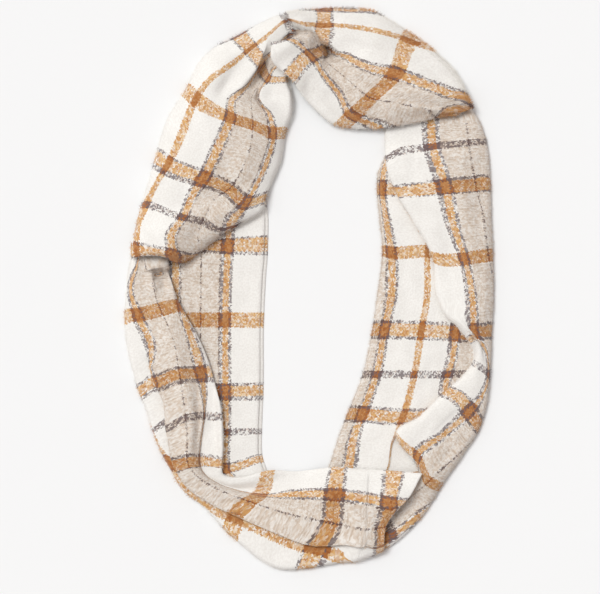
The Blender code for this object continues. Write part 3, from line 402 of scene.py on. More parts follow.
# Lobe at the top. Columns: outer fold, middle, line, thin line, line, hem
LOBE = (
    (-42, (104, 284, 15.5, 10), (128, 287.5, 22, 17), (160, 291, 31, 14), (190, 293, 37, 12),
     (216, 288, 41, 16), (256, 271.5, 44, 12)),
    (-20, (96, 300, 12, 11), (128, 305, 24, 21), (160, 312, 34, 13), (190, 309, 40, 20),
     (220.5, 297, 45.5, 23), (256, 272, 62, 14)),
    (0, (88, 324, 10, 11), (128, 324.5, 26, 24), (155, 328, 40, 19), (178, 324, 53, 10),
     (220.5, 310, 57, 24), (256, 290, 79.5, 14)),
    (25, (84, 349, 9.5, 11), (128, 351, 28.5, 27), (167.5, 349, 60, 25), (190, 334, 67, 18),
     (220.5, 325, 78, 23), (256, 304, 98.5, 12)),
    (45, (90, 372, 12, 11), (128, 374, 32, 27), (167.5, 367, 69.5, 30), (194, 351, 84, 26),
     (220.5, 338, 94, 21), (256, 321, 115.5, 11)),
    (73, (119, 414, 37, 10), (128, 408, 41.5, 16), (167.5, 393.5, 75, 29), (194, 370, 99, 27),
     (220.5, 351, 117, 19), (244, 339, 126.5, 9)),
    (98, (134, 438, 56, 10), (140, 436, 60, 15), (167.5, 423, 86, 26), (194, 397, 104.5, 25),
     (212, 386, 121, 16), (219, 380, 129, 9)),
    (122, (147, 457, 76, 10), (152, 455, 80, 14), (167.5, 446, 95, 21), (194, 424, 110, 20),
     (200, 421, 117, 13), (206, 418, 123, 9)),
    (146, (167, 468, 100, 9, 132), (170, 466, 102, 12, 134), (174, 463, 105, 14, 139),
     (185, 450, 112, 14, 146), (188, 447, 115, 11, 147), (191, 445, 117.5, 8, 148)),
    (158, (174, 472, 109, 7, 143), (175, 470, 110, 8, 144), (178, 467, 111, 9, 146),
     (184, 461, 113.5, 9, 149), (187, 458, 115, 8, 150), (190, 455, 117, 7, 150.5)),
)

# Paths of the hidden layers, as (across, down)
HIDDEN_RING = (
    (290, 34), (262, 57), (228, 98), (208, 150), (182, 208), (160, 236), (151, 265), (153, 302), (158, 345),
    (172, 395), (178, 440), (186, 468), (208, 493), (250, 511), (295, 517), (330, 508), (349, 486),
    (366, 455), (385, 415), (397, 373), (403, 330), (408, 290), (410, 250), (416, 210), (436, 165),
    (444, 125), (424, 96), (385, 68), (345, 40), (312, 28), (290, 34),
)
HIDDEN_CORNER = ((468, 402), (456, 430), (442, 455), (430, 478), (416, 496), (398, 512))


def shifted(rows, across):
    """A table's rows moved sideways in plan."""
    return [(row[0],) + tuple((mark[0], mark[1] + across) + mark[2:] for mark in row[1:]) for row in rows]


# name, node it stands for, sections, kind of each side edge, how far it settles in mm, the cut of
# what shows as (width, length) in metres and its area, how it is held and what it rests on
STRETCHES = (
    ("left_leg_second_layer", "left_leg_backing", shifted(LEFT_UNDER, BACKING_STEP), "hem", "hem", 0.0,
     (0.115, 0.367), 0.034, "laid", ["floor"]),
    ("left_leg_lower_band", "left_leg_under", LEFT_UNDER, "hem", "hem", 0.4,
     (0.115, 0.367), 0.034, "laid", ["left_leg_second_layer"]),
    ("right_leg_lower_band", "right_leg_under", RIGHT_UNDER, "fold", "hem", 0.0,
     (0.14, 0.41), 0.05, "folded", ["floor"]),
    ("right_leg_upper_band", "right_leg_over", RIGHT_OVER, "fold", "fold", 0.2,
     (0.12, 0.577), 0.06, "folded", ["right_leg_lower_band"]),
    ("left_leg_upper_band", "left_leg_over", LEFT_OVER, "fold", "hem", 0.8,
     (0.19, 0.59), 0.062, "folded", ["left_leg_lower_band"]),
    ("roll", "upper_left_roll", ROLL, "fold", "fold", 0.1,
     (0.19, 0.355), 0.055, "folded", ["left_leg_upper_band"]),
    ("lobe", "top_lobe", LOBE, "fold", "hem", 1.8,
     (0.19, 0.234), 0.03, "folded", ["right_leg_upper_band"]),
)
# name, node it stands for, its path as (across, down), its cut and its area
INNER = (
    ("inner_layers", "hidden_layers", HIDDEN_RING, (0.06, 1.38), 0.062),
    ("inner_layers_corner", "hidden_layers_corner", HIDDEN_CORNER, (0.02, 0.145), 0.0025),
)

# Creases: points in plan units, height in mm (below zero for a trough), half width,
# and, where its cloth is pulled sideways, how far across, down and along the weave
CREASES = {
    "roll": (
        (((272, 52), (259, 76), (243, 94)), -9, 5),
        (((266, 42), (251, 68), (234, 92)), 3.5, 5, (4, 3, 0)),
        (((248, 56), (234, 76), (218, 98)), -5.5, 8),
        (((260, 84), (258, 100), (268, 114)), -5, 2.5),
        (((267, 84), (265, 98), (274, 113)), 4, 4, (-5.5, 0.5, 0)),
        (((176, 158), (186, 180), (184, 204)), -1.6, 8),
        (((236, 140), (228, 166), (212, 190)), -1.4, 7),
        (((252, 140), (246, 168), (236, 186)), 1.2, 5),
        (((214, 206), (204, 226), (190, 244)), -1.8, 6),
        (((160, 214), (152, 236)), -1.2, 7),
        (((210, 72), (196, 84), (186, 104)), -1.4, 7),
    ),
    "lobe": (
        (((284, 24), (303, 33), (318, 38), (328, 48), (336, 62)), -7, 5),
        (((321, 43), (328, 50), (335, 56)), -8.5, 6),
        (((290, 40), (304, 38), (315, 44), (320, 54), (320, 62)), 4, 4.5, (4, -4, 0)),
        (((300, 24), (322, 32), (336, 42), (344, 54)), 4, 4.5, (-5.5, 5, 0)),
        (((340, 46), (370, 50), (396, 58)), -1.6, 8),
        (((352, 78), (392, 100), (440, 108)), -1.4, 5),
        (((334, 70), (348, 92), (362, 108)), -1.5, 5),
        (((300, 66), (318, 90), (334, 112)), 1.2, 8),
        (((384, 26), (404, 44), (416, 66)), 1.2, 8),
        (((430, 74), (452, 92), (464, 104)), -1.3, 6),
    ),
    "left_leg_upper_band": (
        (((218, 384), (220, 420), (221, 450), (221, 470)), 7, 3.5, (1.5, 0, 0)),
        # Pocket in the pinch: its weave is pulled along by 42, so the darker orange and grey stripes lie in
        # it. The cloth drawn into the fold is real, but the darker colour there is partly painted shade.
        (((150, 273), (158, 275), (168, 271)), -12, 5, (0, 0, 42)),
        (((144, 268), (150, 261), (160, 259), (171, 264)), 6.5, 4.5, (2.5, 8.5, 0)),
        (((149, 266), (149, 280), (154, 298)), 5, 4.5, (4, 0.5, 0)),
        (((163, 277), (167, 291)), -8, 5.5),
        (((174, 262), (172, 284), (175, 300)), 5, 2.5, (1, 0, 0)),
        (((197, 384), (199, 420), (196, 462)), -4.5, 4.5),
        (((146, 318), (154, 348), (160, 374)), -1.4, 6),
        (((170, 330), (182, 372), (184, 410)), 1, 6),
        (((204, 478), (230, 489), (264, 490)), -5, 5),
        (((262, 482), (290, 478), (322, 480)), -1.6, 7),
        (((252, 506), (290, 520), (330, 530)), -1.4, 6),
        (((262, 544), (290, 556)), -1.2, 8),
        (((196, 492), (222, 506), (246, 514)), 1.2, 5),
        (((340, 496), (360, 512), (378, 530)), -1.2, 6),
        (((374, 512), (377, 527), (382, 541)), -3.5, 4),
    ),
    "right_leg_upper_band": (
        (((440, 200), (448, 240), (452, 290)), -1.6, 8),
        (((468, 150), (476, 200), (482, 250)), -1.2, 6),
        (((432, 434), (452, 416), (470, 400)), -1.2, 4),
        (((430, 470), (450, 452), (468, 430)), -1.2, 4),
        (((424, 500), (404, 516), (392, 528)), -1.6, 4),
        (((448, 392), (430, 412), (414, 428)), 1.2, 6),
        (((414, 136), (412, 160), (418, 190)), -1.2, 7),
    ),
    "right_leg_lower_band": (
        (((466, 334), (471, 350), (468, 366)), -3, 6),
        (((404, 260), (402, 300), (396, 350)), -1, 7),
        (((366, 400), (352, 440)), -1, 6),
    ),
    "left_leg_lower_band": (
        (((212, 270), (212, 330), (214, 372)), -1, 6),
        (((174, 262), (177, 284), (183, 306)), -1.4, 4),
        (((244, 260), (242, 340), (242, 430)), -0.8, 8),
    ),
}


def slopes(knots, values, keep_shape):
    """Slopes of a smooth curve through the values; keep_shape allows no overshoot."""
    steps = [end - start for start, end in zip(knots, knots[1:])]
    rises = [(end - start) / step for start, end, step in zip(values, values[1:], steps)]
    found = [rises[0]]
    for before, after, first, second in zip(rises, rises[1:], steps, steps[1:]):
        if not keep_shape:
            found.append((second * before + first * after) / (first + second))
        elif before * after <= 0:
            found.append(0.0)
        else:
            pull = (first + 2 * second) / before + (2 * first + second) / after
            found.append(3 * (first + second) / pull)
    return found + [rises[-1]]


def curve_value(knots, values, found, k, share):
    """Value of the smooth curve at a share of its interval k."""
    step = knots[k + 1] - knots[k]
    square = share * share
    cube = square * share
    start = (2 * cube - 3 * square + 1) * values[k] + (cube - 2 * square + share) * step * found[k]
    end = (3 * square - 2 * cube) * values[k + 1] + (cube - square) * step * found[k + 1]
    return start + end


def plan_place(across, down):
    """A place in plan units, in metres."""
    return (across - PLAN_CENTRE_ACROSS) * UNIT, (PLAN_CENTRE_DOWN - down) * UNIT


def in_plan(points):
    """Places of points across and down, in plan units."""
    return points[..., 0] / UNIT + PLAN_CENTRE_ACROSS, PLAN_CENTRE_DOWN - points[..., 1] / UNIT


def full_mark(mark, weft):
    """A table's mark as (x, y, lift, weave, weft), the first three in metres."""
    x, y = plan_place(mark[1], mark[2])
    lift = mark[3] * MILLIMETRE if len(mark) > 3 else WALL
    return (x, y, lift, mark[0], mark[4] if len(mark) > 4 else weft)


def gaps_between(first, second):
    """Distances in plan between the marks of two runs."""
    return [math.dist(a[:2], b[:2]) for a, b in zip(first, second)]


def even_steps(length, spacing):
    """How many even steps a length takes."""
    return max(1, round(length / (spacing * UNIT)))


def curves(knots, marks):
    """Smooth curves through a run of marks, as the values and slopes of each kind of value."""
    kinds = enumerate(zip(*marks))
    return [(values, slopes(knots, values, n >= PLAN_AXES)) for n, values in kinds]


def mark_on(knots, run, k, share):
    """The mark at a share of interval k of a run's curves."""
    return tuple(curve_value(knots, values, found, k, share) for values, found in run)


def rows_between(rows):
    """Smoothly spaced rows of marks through a table's rows."""
    marks = [[full_mark(mark, row[0]) for mark in row[1:]] for row in rows]
    gaps = [gaps_between(before, after) for before, after in zip(marks, marks[1:])]
    knots = [0.0]
    for gap in gaps:
        knots.append(knots[-1] + sum(gap) / len(gap))
    columns = [curves(knots, column) for column in zip(*marks)]
    result = []
    for r, gap in enumerate(gaps):
        count = even_steps(max(gap), ALONG_SPACING)
        for step in range(count):
            result.append([mark_on(knots, column, r, step / count) for column in columns])
    return result + [marks[-1]]


def turn_share(step, points):
    """Distance from an edge, as a share of its roll, at a step round its quarter turn."""
    return 1 - math.cos(0.5 * math.pi * step / points)


def edge_points(kind):
    """Steps and reach of the finer points beside an edge."""
    return (ROLL_POINTS, ROLL_REACH) if kind == "fold" else (HEM_POINTS, HEM_REACH)


def shares_of(count, length, edge_first, edge_last):
    """Shares of an interval across the cloth, closer together beside an edge."""
    runs = []
    for kind in (edge_first, edge_last):
        points, reach = edge_points(kind)
        most = MOST_OF_INTERVAL * length / points
        steps = range(1, points + 1) if kind else ()
        runs.append([min(reach * turn_share(k, points), most * k) / length for k in steps])
    start = runs[0]
    end = [1 - share for share in reversed(runs[1])]
    low = start[-1] if start else 0.0
    high = end[0] if end else 1.0
    middle = [low + (high - low) * k / count for k in range(1, count)]
    return [0.0] + start + middle + end


def lines_across(rows, left_edge, right_edge):
    """Each row of marks, filled in across the cloth; every line has the same number of points."""
    gaps = [gaps_between(row, row[1:]) for row in rows]
    counts = [even_steps(max(lengths), ACROSS_SPACING) for lengths in zip(*gaps)]
    lines = []
    for row, lengths in zip(rows, gaps):
        knots = [0.0]
        for length in lengths:
            knots.append(knots[-1] + max(length, SHORTEST_STEP))
        run = curves(knots, row)
        line = []
        for c, count in enumerate(counts):
            first = left_edge if c == 0 else None
            last = right_edge if c == len(counts) - 1 else None
            for share in shares_of(count, knots[c + 1] - knots[c], first, last):
                line.append(mark_on(knots, run, c, share))
        lines.append(line + [row[-1]])
    return lines


def inward(line):
    """Unit direction in plan from a line's first edge into the cloth."""
    start = line[0]
    other = next((p for p in line if math.dist(p[:2], start[:2]) > ROLL_REACH), line[-1])
    length = math.dist(other[:2], start[:2])
    return ((other[0] - start[0]) / length, (other[1] - start[1]) / length)


def turn_at(distance, reach):
    """Sine and cosine of an edge's turn at a distance from it."""
    share = min(1.0, distance / reach)
    cosine = 1 - share
    return math.sqrt(1 - cosine * cosine), cosine


def under_points(line):
    """Outer and inner points of the cloth turned under at a line's first edge, up to that edge."""
    edge = line[0]
    onward = 1 if edge[3] > line[-1][3] else -1
    way = inward(line)
    half = 0.5 * max(edge[2], SMALLEST_FOLD)
    rolled = [(turn_share(k, ROLL_POINTS), k / ROLL_POINTS) for k in range(ROLL_POINTS, 0, -1)]
    flat = [RETURN_LENGTH, 0.5 * (RETURN_LENGTH + ROLL_REACH)]
    quarter = 0.5 * math.pi * 0.5 * (half + ROLL_REACH)
    stops = [(distance, quarter + distance - ROLL_REACH) for distance in flat]
    stops += [(ROLL_REACH * share, quarter * turned) for share, turned in rolled]
    outer, inner = [], []
    for distance, arc in stops:
        sine, cosine = turn_at(distance, ROLL_REACH)
        height = half * (1 - sine)
        x = edge[0] + way[0] * distance
        y = edge[1] + way[1] * distance
        weave = edge[3] + onward * arc / UNIT
        outer.append((x, y, height, weave, edge[4]))
        inset = WALL * cosine
        inner.append((x + way[0] * inset, y + way[1] * inset, height + WALL * sine, weave, edge[4]))
    return outer, inner


def section(line, left_edge, right_edge):
    """Outer and inner points of one section of a shell, above what it lies on."""
    edges = ((left_edge, line[0], inward(line)), (right_edge, line[-1], inward(line[::-1])))
    outer, inner = [], []
    for x, y, height, weave, weft in line:
        height = max(height, WALL)
        shift = [0.0, 0.0]
        drop = WALL
        for kind, edge, way in edges:
            distance = math.dist((x, y), edge[:2])
            reach = edge_points(kind)[1]
            if distance >= reach:
                continue
            sine, cosine = turn_at(distance, reach)
            if kind == "fold":
                half = 0.5 * max(edge[2], SMALLEST_FOLD)
                height = half + (max(height, SMALLEST_FOLD) - half) * sine
                shift = [way[0] * WALL * cosine, way[1] * WALL * cosine]
                drop = WALL * sine
            else:
                drop = WALL * (LEAST_EDGE + (1 - LEAST_EDGE) * sine)
                height -= WALL - drop
        outer.append((x, y, height, weave, weft))
        inner.append((x + shift[0], y + shift[1], height - drop, weave, weft))
    if left_edge == "fold":
        outer, inner = [under + flat for under, flat in zip(under_points(line), (outer, inner))]
    if right_edge == "fold":
        turned = under_points(line[::-1])
        outer, inner = [flat + under[::-1] for under, flat in zip(turned, (outer, inner))]
    return outer, inner


class LaidCloth:
    """Heights of the cloth laid so far, on a square grid."""

    def __init__(self):
        half_across = 0.5 * LAID_LENGTH
        self.start = (-half_across, -half_across - MARGIN_CELLS * CELL)
        cells = int(2 * half_across / CELL) + 2
        size = (cells, cells + 2 * MARGIN_CELLS)
        self.top = np.zeros(size)
        self.bottom = np.full(size, NOTHING_ABOVE)
        self.eased = np.zeros(size)

    def cells(self, points):
        """Places of points on the grid, counted in its cells."""
        return (points[..., 0] - self.start[0]) / CELL, (points[..., 1] - self.start[1]) / CELL

    def add(self, grid):
        """Marks a shell's grid of points as laid."""
        shares = [step / FACE_SAMPLES for step in range(FACE_SAMPLES)]
        for a in shares:
            low = grid[:-1, :-1] * (1 - a) + grid[1:, :-1] * a
            high = grid[:-1, 1:] * (1 - a) + grid[1:, 1:] * a
            for b in shares:
                points = low * (1 - b) + high * b
                cells = tuple(np.rint(self.cells(points)).astype(int))
                np.maximum.at(self.top, cells, points[..., 2])
                np.minimum.at(self.bottom, cells, points[..., 2])

    def ease(self):
        """Heights that the next shell follows: nowhere below the laid cloth, and smooth."""
        self.eased = softened(widened(self.top, np.maximum, EASE_CELLS), EASE_CELLS)

    def heights(self, grid, settled):
        """Heights that a shell lies on, with its clearance."""
        height = sampled(self.eased, *self.cells(grid))
        return np.maximum(0.0, height + (FIRST_GAP - settled) * np.minimum(1.0, height / WALL))


def widened(field, choose, reach):
    """Greatest or smallest of each cell's neighbours within a reach."""
    result = field.copy()
    for axis in (0, 1):
        source = result.copy()
        for step in range(-reach, reach + 1):
            result = choose(result, np.roll(source, step, axis))
    return result


def softened(field, reach):
    """Mean of each cell's neighbours within a reach."""
    result = field
    for axis in (0, 1):
        result = sum(np.roll(result, step, axis) for step in range(-reach, reach + 1)) / (2 * reach + 1)
    return result


def sampled(field, across, down):
    """Values between the cells of a field, for arrays of places."""
    column = np.clip(np.floor(across).astype(int), 0, field.shape[0] - 2)
    row = np.clip(np.floor(down).astype(int), 0, field.shape[1] - 2)
    a, b = across - column, down - row
    near = field[column, row] * (1 - a) + field[column + 1, row] * a
    far = field[column, row + 1] * (1 - a) + field[column + 1, row + 1] * a
    return near * (1 - b) + far * b


def smooth_noise(a, b):
    """Smooth noise from -1 to 1 with a cell of one unit."""
    places = []
    for value in (a, b):
        cell = np.floor(value)
        share = value - cell
        places.append(cell % NOISE_SIZE + share * share * (3 - 2 * share))
    return sampled(NOISE, *places)


def relief(grid, creases, seed):
    """Rise and sideways pull of the cloth over a grid of points, from its unevenness and creases."""
    across, down = in_plan(grid)
    weave, weft = grid[..., 3], grid[..., 4]
    height = np.zeros(across.shape)
    for cell_weave, cell_weft, size in UNEVENNESS:
        height += size * smooth_noise(weave / cell_weave + seed, weft / cell_weft + 3 * seed)
    pulled = np.zeros(across.shape + (3,))
    for points, size, reach, *pulls in creases:
        profile = crease_profile(across, down, points, reach, seed)
        height += size * profile
        for pull in pulls:
            pulled += profile[..., None] * [pull[0] * UNIT, -pull[1] * UNIT, pull[2]]
    return height * MILLIMETRE, pulled


def from_path(across, down, path):
    """Distance of places from a path in plan, how far along and aside of it they lie, its length."""
    nearest = np.full(across.shape, np.inf)
    found = np.zeros((2,) + across.shape)
    passed = 0.0
    for (x, y), (x_end, y_end) in zip(path, path[1:]):
        length = math.dist((x, y), (x_end, y_end))
        to_x, to_y = x_end - x, y_end - y
        share = np.clip(((across - x) * to_x + (down - y) * to_y) / length ** 2, 0, 1)
        off_x, off_y = across - x - share * to_x, down - y - share * to_y
        off = np.hypot(off_x, off_y)
        here = (passed + share * length, (off_x * to_y - off_y * to_x) / length)
        found = np.where(off < nearest, here, found)
        nearest = np.minimum(nearest, off)
        passed += length
    return nearest, *found, passed


def crease_profile(across, down, points, reach, seed):
    """One crease's share of its full height over places in plan, uneven and fading at its ends."""
    off, along, _, whole = from_path(across, down, points)
    share = along / whole
    wide = reach * (1 + CREASE_UNEVEN * smooth_noise(share * CREASE_WAVES + seed, share * 0 + reach))
    fade = np.sqrt(np.sin(np.pi * np.clip(share, *CREASE_ENDS)))
    return fade * np.exp(-(off / wide) ** 2)


def shell(name, rows, left_edge, right_edge, settled, creases, seed, cloth, material):
    """One stretch of cloth as a closed thin mesh, laid on what is below it."""
    lines = lines_across(rows_between(rows), left_edge, right_edge)
    sections = [section(line, left_edge, right_edge) for line in lines]
    outer = np.array([pair[0] for pair in sections])
    inner = np.array([pair[1] for pair in sections])
    lift, pulled = relief(outer, creases, seed)
    for grid in (outer, inner):
        rise = np.minimum(1.0, np.maximum(grid[..., 2], 0) / (2 * WALL))
        grid[..., 2] += cloth.heights(grid, settled) + lift * rise
        grid[..., :2] += pulled[..., :2] * rise[..., None]
        grid[..., 3] += pulled[..., 2]
    for grid in (outer, inner):
        grid[..., 2] = np.maximum(grid[..., 2], FLOOR_GAP)
        cloth.add(grid)
    cloth.ease()
    return mesh_object(name, outer, inner, material)


def mesh_object(name, outer, inner, material):
    """A closed piece of cloth between two grids of points."""
    rows, width = outer.shape[:2]
    points = np.concatenate([outer.reshape(-1, MARK_VALUES), inner.reshape(-1, MARK_VALUES)])
    index = np.arange(rows * width).reshape(rows, width)
    second = index + rows * width
    sides = (
        (index[:-1, :-1], index[:-1, 1:], index[1:, 1:], index[1:, :-1]),
        (second[:-1, :-1], second[1:, :-1], second[1:, 1:], second[:-1, 1:]),
        (index[:-1, 0], index[1:, 0], second[1:, 0], second[:-1, 0]),
        (index[:-1, -1], second[:-1, -1], second[1:, -1], index[1:, -1]),
        (index[0, :-1], second[0, :-1], second[0, 1:], index[0, 1:]),
        (index[-1, :-1], index[-1, 1:], second[-1, 1:], second[-1, :-1]),
    )
    faces = np.concatenate([np.stack(corners, -1).reshape(-1, 4) for corners in sides])
    return cloth_object(name, points[:, :3], faces, points[:, 3:5], material)


def placed(name, data):
    """A new object in the scene."""
    thing = bpy.data.objects.new(name, data)
    bpy.context.scene.collection.objects.link(thing)
    return thing


def cloth_object(name, points, faces, places, material):
    """A piece of cloth from arrays of points and faces, whose UV map holds places in the weave."""
    data = bpy.data.meshes.new(name)
    data.from_pydata(points.tolist(), [], faces.tolist())
    layer = data.uv_layers.new(name="weave")
    corners = np.array(faces).reshape(-1)
    scale = np.array([1 / WEAVE_REPEAT, 1 / WEFT_REPEAT])
    layer.data.foreach_set("uv", (places[corners] * scale).astype(np.float32).reshape(-1))
    data.shade_smooth()
    data.validate()
    data.materials.append(material)
    piece = placed(name, data)
    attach(piece, "root")
    return piece


class Tree:
    """Short ways to add nodes to a material."""

    def __init__(self, material):
        self.nodes = material.node_tree.nodes
        self.links = material.node_tree.links

    def plug(self, socket, value):
        """Sets a socket to a value, or links it to another socket."""
        if isinstance(value, bpy.types.NodeSocket):
            self.links.new(value, socket)
        else:
            socket.default_value = value

    def math(self, operation, first, second=0.0, third=0.0):
        """One Math node."""
        node = self.nodes.new("ShaderNodeMath")
        node.operation = operation
        for socket, value in zip(node.inputs, (first, second, third)):
            self.plug(socket, value)
        return node.outputs[0]

    def times(self, first, second):
        """Two values multiplied."""
        return self.math("MULTIPLY", first, second)

    def line(self, value, slope, start):
        """A value times a slope, plus a start."""
        return self.math("MULTIPLY_ADD", value, slope, start)

    def above(self, value, limit):
        """One where a value is above a limit, and nought elsewhere."""
        return self.math("GREATER_THAN", value, limit)

    def mapped(self, value, low, high, to_low=0.0, to_high=1.0):
        """A value's range moved to another, with its ends held and a smooth run between."""
        node = self.nodes.new("ShaderNodeMapRange")
        node.interpolation_type = "SMOOTHSTEP"
        for socket, amount in zip(node.inputs, (value, low, high, to_low, to_high)):
            self.plug(socket, amount)
        return node.outputs[0]

    def mixed(self, share, first, second, blend="MIX"):
        """Two colours mixed."""
        node = self.nodes.new("ShaderNodeMix")
        node.data_type = "RGBA"
        node.blend_type = blend
        for socket, value in ((0, share), (6, first), (7, second)):
            self.plug(node.inputs[socket], value)
        return node.outputs[2]

    def tinted(self, share, first, second):
        """A colour multiplied by another, as far as the share says."""
        return self.mixed(share, first, second, "MULTIPLY")

    def vector(self, x, y):
        """A vector in a plane, from its parts."""
        node = self.nodes.new("ShaderNodeCombineXYZ")
        for socket, value in zip(node.inputs, (x, y)):
            self.plug(socket, value)
        return node.outputs[0]

    def noise(self, places, size_x, size_y, detail, offset):
        """Noise from 0 to 1 whose features have a size in each direction."""
        node = self.nodes.new("ShaderNodeTexNoise")
        node.noise_dimensions = "2D"
        place = self.vector(*[self.line(p, 1 / size, offset) for p, size in zip(places, (size_x, size_y))])
        for name, value in (("Vector", place), ("Scale", 1.0), ("Detail", detail)):
            self.plug(node.inputs[name], value)
        return node.outputs["Fac"]

    def ramp(self, value, stops):
        """A run of colours that change at once at each stop."""
        node = self.nodes.new("ShaderNodeValToRGB")
        ramp = node.color_ramp
        ramp.interpolation = "CONSTANT"
        while len(ramp.elements) < len(stops):
            ramp.elements.new(0.5)
        for element, (place, colour) in zip(ramp.elements, stops):
            element.position = place
            element.color = colour
        self.plug(node.inputs[0], value)
        return node.outputs[0]


def places_in_weave(tree):
    """Where a point lies across and along the weave, in plan units."""
    uv = tree.nodes.new("ShaderNodeUVMap")
    uv.uv_map = "weave"
    parts = tree.nodes.new("ShaderNodeSeparateXYZ")
    tree.links.new(uv.outputs[0], parts.inputs[0])
    return tree.times(parts.outputs[0], WEAVE_REPEAT), tree.times(parts.outputs[1], WEFT_REPEAT)


def yarn_number(tree, places, sizes):
    """Which yarn lies at the first of two places; fuzz lets the yarns wander over one another."""
    pull = tree.math("SUBTRACT", tree.noise(places, *sizes), 0.5)
    return tree.math("FLOOR", tree.math("DIVIDE", tree.line(pull, YARN_WANDER, places[0]), YARN_PITCH))


def yarn_middle(tree, number):
    """Place of the middle of a yarn, in plan units."""
    return tree.line(number, YARN_PITCH, 0.5 * YARN_PITCH)


def striped(tree, place, stripes, repeat):
    """Colour and cover of the yarn at a place, from a table of stripes."""
    colours = [(start / repeat, YARNS[yarn][0]) for start, yarn in stripes]
    covers = [(start / repeat, grey(YARNS[yarn][1])) for start, yarn in stripes]
    return tree.ramp(place, colours), tree.ramp(place, covers)


def yarn_chances(tree, warp_number, weft_number):
    """Three chances from 0 to 1 for each crossing of two yarns."""
    chance = tree.nodes.new("ShaderNodeTexWhiteNoise")
    chance.noise_dimensions = "2D"
    tree.plug(chance.inputs["Vector"], tree.vector(warp_number, weft_number))
    chances = tree.nodes.new("ShaderNodeSeparateColor")
    tree.links.new(chance.outputs["Color"], chances.inputs[0])
    return chances.outputs


def plaid(tree):
    """The woven plaid. Returns its colour and its height for the bump."""
    places = places_in_weave(tree)
    warp_number = yarn_number(tree, places, WARP_NOISE)
    weft_number = yarn_number(tree, places[::-1], WEFT_NOISE)
    middle = 0.5 * WEAVE_REPEAT
    from_middle = tree.math("ABSOLUTE", tree.math("SUBTRACT", yarn_middle(tree, warp_number), middle))
    warp_place = tree.math("DIVIDE", tree.math("SUBTRACT", middle, from_middle), middle)
    weft_place = tree.math("FRACT", tree.math("DIVIDE", yarn_middle(tree, weft_number), WEFT_REPEAT))
    warp, warp_cover = striped(tree, warp_place, WARP, middle)
    weft, weft_cover = striped(tree, weft_place, WEFT, WEFT_REPEAT)
    beige = tree.ramp(warp_place, [(start / middle, grey(share)) for start, share in BEIGE_BAND])
    chances = yarn_chances(tree, warp_number, weft_number)
    twill = tree.math("FRACT", tree.times(tree.math("ADD", warp_number, weft_number), 1 / TWILL_YARNS))
    over = tree.above(twill, TWILL_HALF)
    share = warp_share(tree, over, chances[0], warp_cover, weft_cover, beige)
    colour = tree.mixed(share, weft, warp)
    colour = single_yarns(tree, colour, warp_cover, weft_cover, chances)
    ribbed = ribs(tree, places, beige)
    colour = tints(tree, colour, places, beige, ribbed, chances[2])
    height = tree.line(over, YARN_BUMP, tree.noise(places, *NAP_NOISE))
    return colour, tree.line(ribbed, RIB_BUMP, height)


def warp_share(tree, over, chance, warp_cover, weft_cover, beige):
    """How much of the warp's colour shows at a crossing."""
    top = tree.line(over, 1 - WEAVE_CHANCE, WARP_LEAD)
    top = tree.line(chance, WEAVE_CHANCE, top)
    top = tree.math("ADD", top, tree.math("SUBTRACT", warp_cover, weft_cover))
    thin = tree.math("SUBTRACT", tree.above(weft_cover, GREY_COVER), tree.above(warp_cover, GREY_COVER))
    top = tree.line(thin, GREY_YIELDS, top)
    top = tree.line(beige, BEIGE_YIELDS, top)
    return tree.mapped(top, 0.5 - WEAVE_SOFTNESS, 0.5 + WEAVE_SOFTNESS, FUZZ_SHOW, 1 - FUZZ_SHOW)


def single_yarns(tree, colour, warp_cover, weft_cover, chances):
    """Golden yarns among the orange, deeper ones among both colours, and the dark crossings."""
    strongest = tree.math("MAXIMUM", warp_cover, weft_cover)
    coloured = tree.above(strongest, COLOURED_COVER)
    golden = tree.times(coloured, tree.math("LESS_THAN", strongest, GREY_COVER))
    golden = tree.times(golden, chances[1])
    colour = tree.mixed(tree.times(golden, YARN_LIGHTER), colour, YARN_GOLD)
    shaded = tree.times(tree.above(chances[2], SHADED_CHANCE), coloured)
    colour = tree.tinted(tree.times(shaded, YARN_DEEPER), colour, YARN_SHADE)
    both = tree.times(tree.above(warp_cover, COLOURED_COVER), tree.above(weft_cover, COLOURED_COVER))
    return tree.tinted(tree.times(both, CROSSING_DARK), colour, CROSSING_COLOUR)


def ribs(tree, places, beige):
    """Fine ribs across the beige, in patches."""
    waver = tree.line(tree.noise(places, *WAVER_NOISE), RIB_WAVER, places[1])
    rib = tree.math("SINE", tree.times(waver, 2 * math.pi / RIB_PITCH))
    ribbed = tree.times(tree.mapped(rib, -1.0, 1.0), beige)
    return tree.times(ribbed, tree.mapped(tree.noise(places, *PATCH_NOISE), *RIB_PATCH))


def tints(tree, colour, places, beige, ribbed, chance):
    """The colour with the beige, its ribs, the clouds and the flecks laid on it."""
    mottle = tree.mapped(tree.noise(places, *MOTTLE_NOISE), *NOISE_SPAN, 1 - BEIGE_VARIES, 1.0)
    speck = tree.line(tree.above(chance, SPECK_CHANCE), -BEIGE_SPECK, 1.0)
    colour = tree.tinted(tree.times(tree.times(beige, mottle), speck), colour, BEIGE_TINT)
    colour = tree.tinted(tree.times(ribbed, RIB_DARK), colour, RIB_COLOUR)
    cloud = tree.mapped(tree.noise(places, *CLOUD_NOISE), *NOISE_SPAN, 0.0, CLOUD_DARK)
    colour = tree.tinted(cloud, colour, CLOUD_COLOUR)
    fleck = tree.mapped(tree.noise(places, *FLECK_NOISE), *NOISE_SPAN, FLECK_DARK, 0.0)
    return tree.tinted(fleck, colour, FLECK_COLOUR)


def grey(value):
    """A colour with one value in all its channels."""
    return (value, value, value, 1.0)


def new_material(name, finish):
    """A material with some of its shader's values set. Returns it and its shader."""
    material = bpy.data.materials.new(name)
    material.use_nodes = True
    shader = material.node_tree.nodes["Principled BSDF"]
    for socket, value in finish.items():
        shader.inputs[socket].default_value = value
    return material, shader


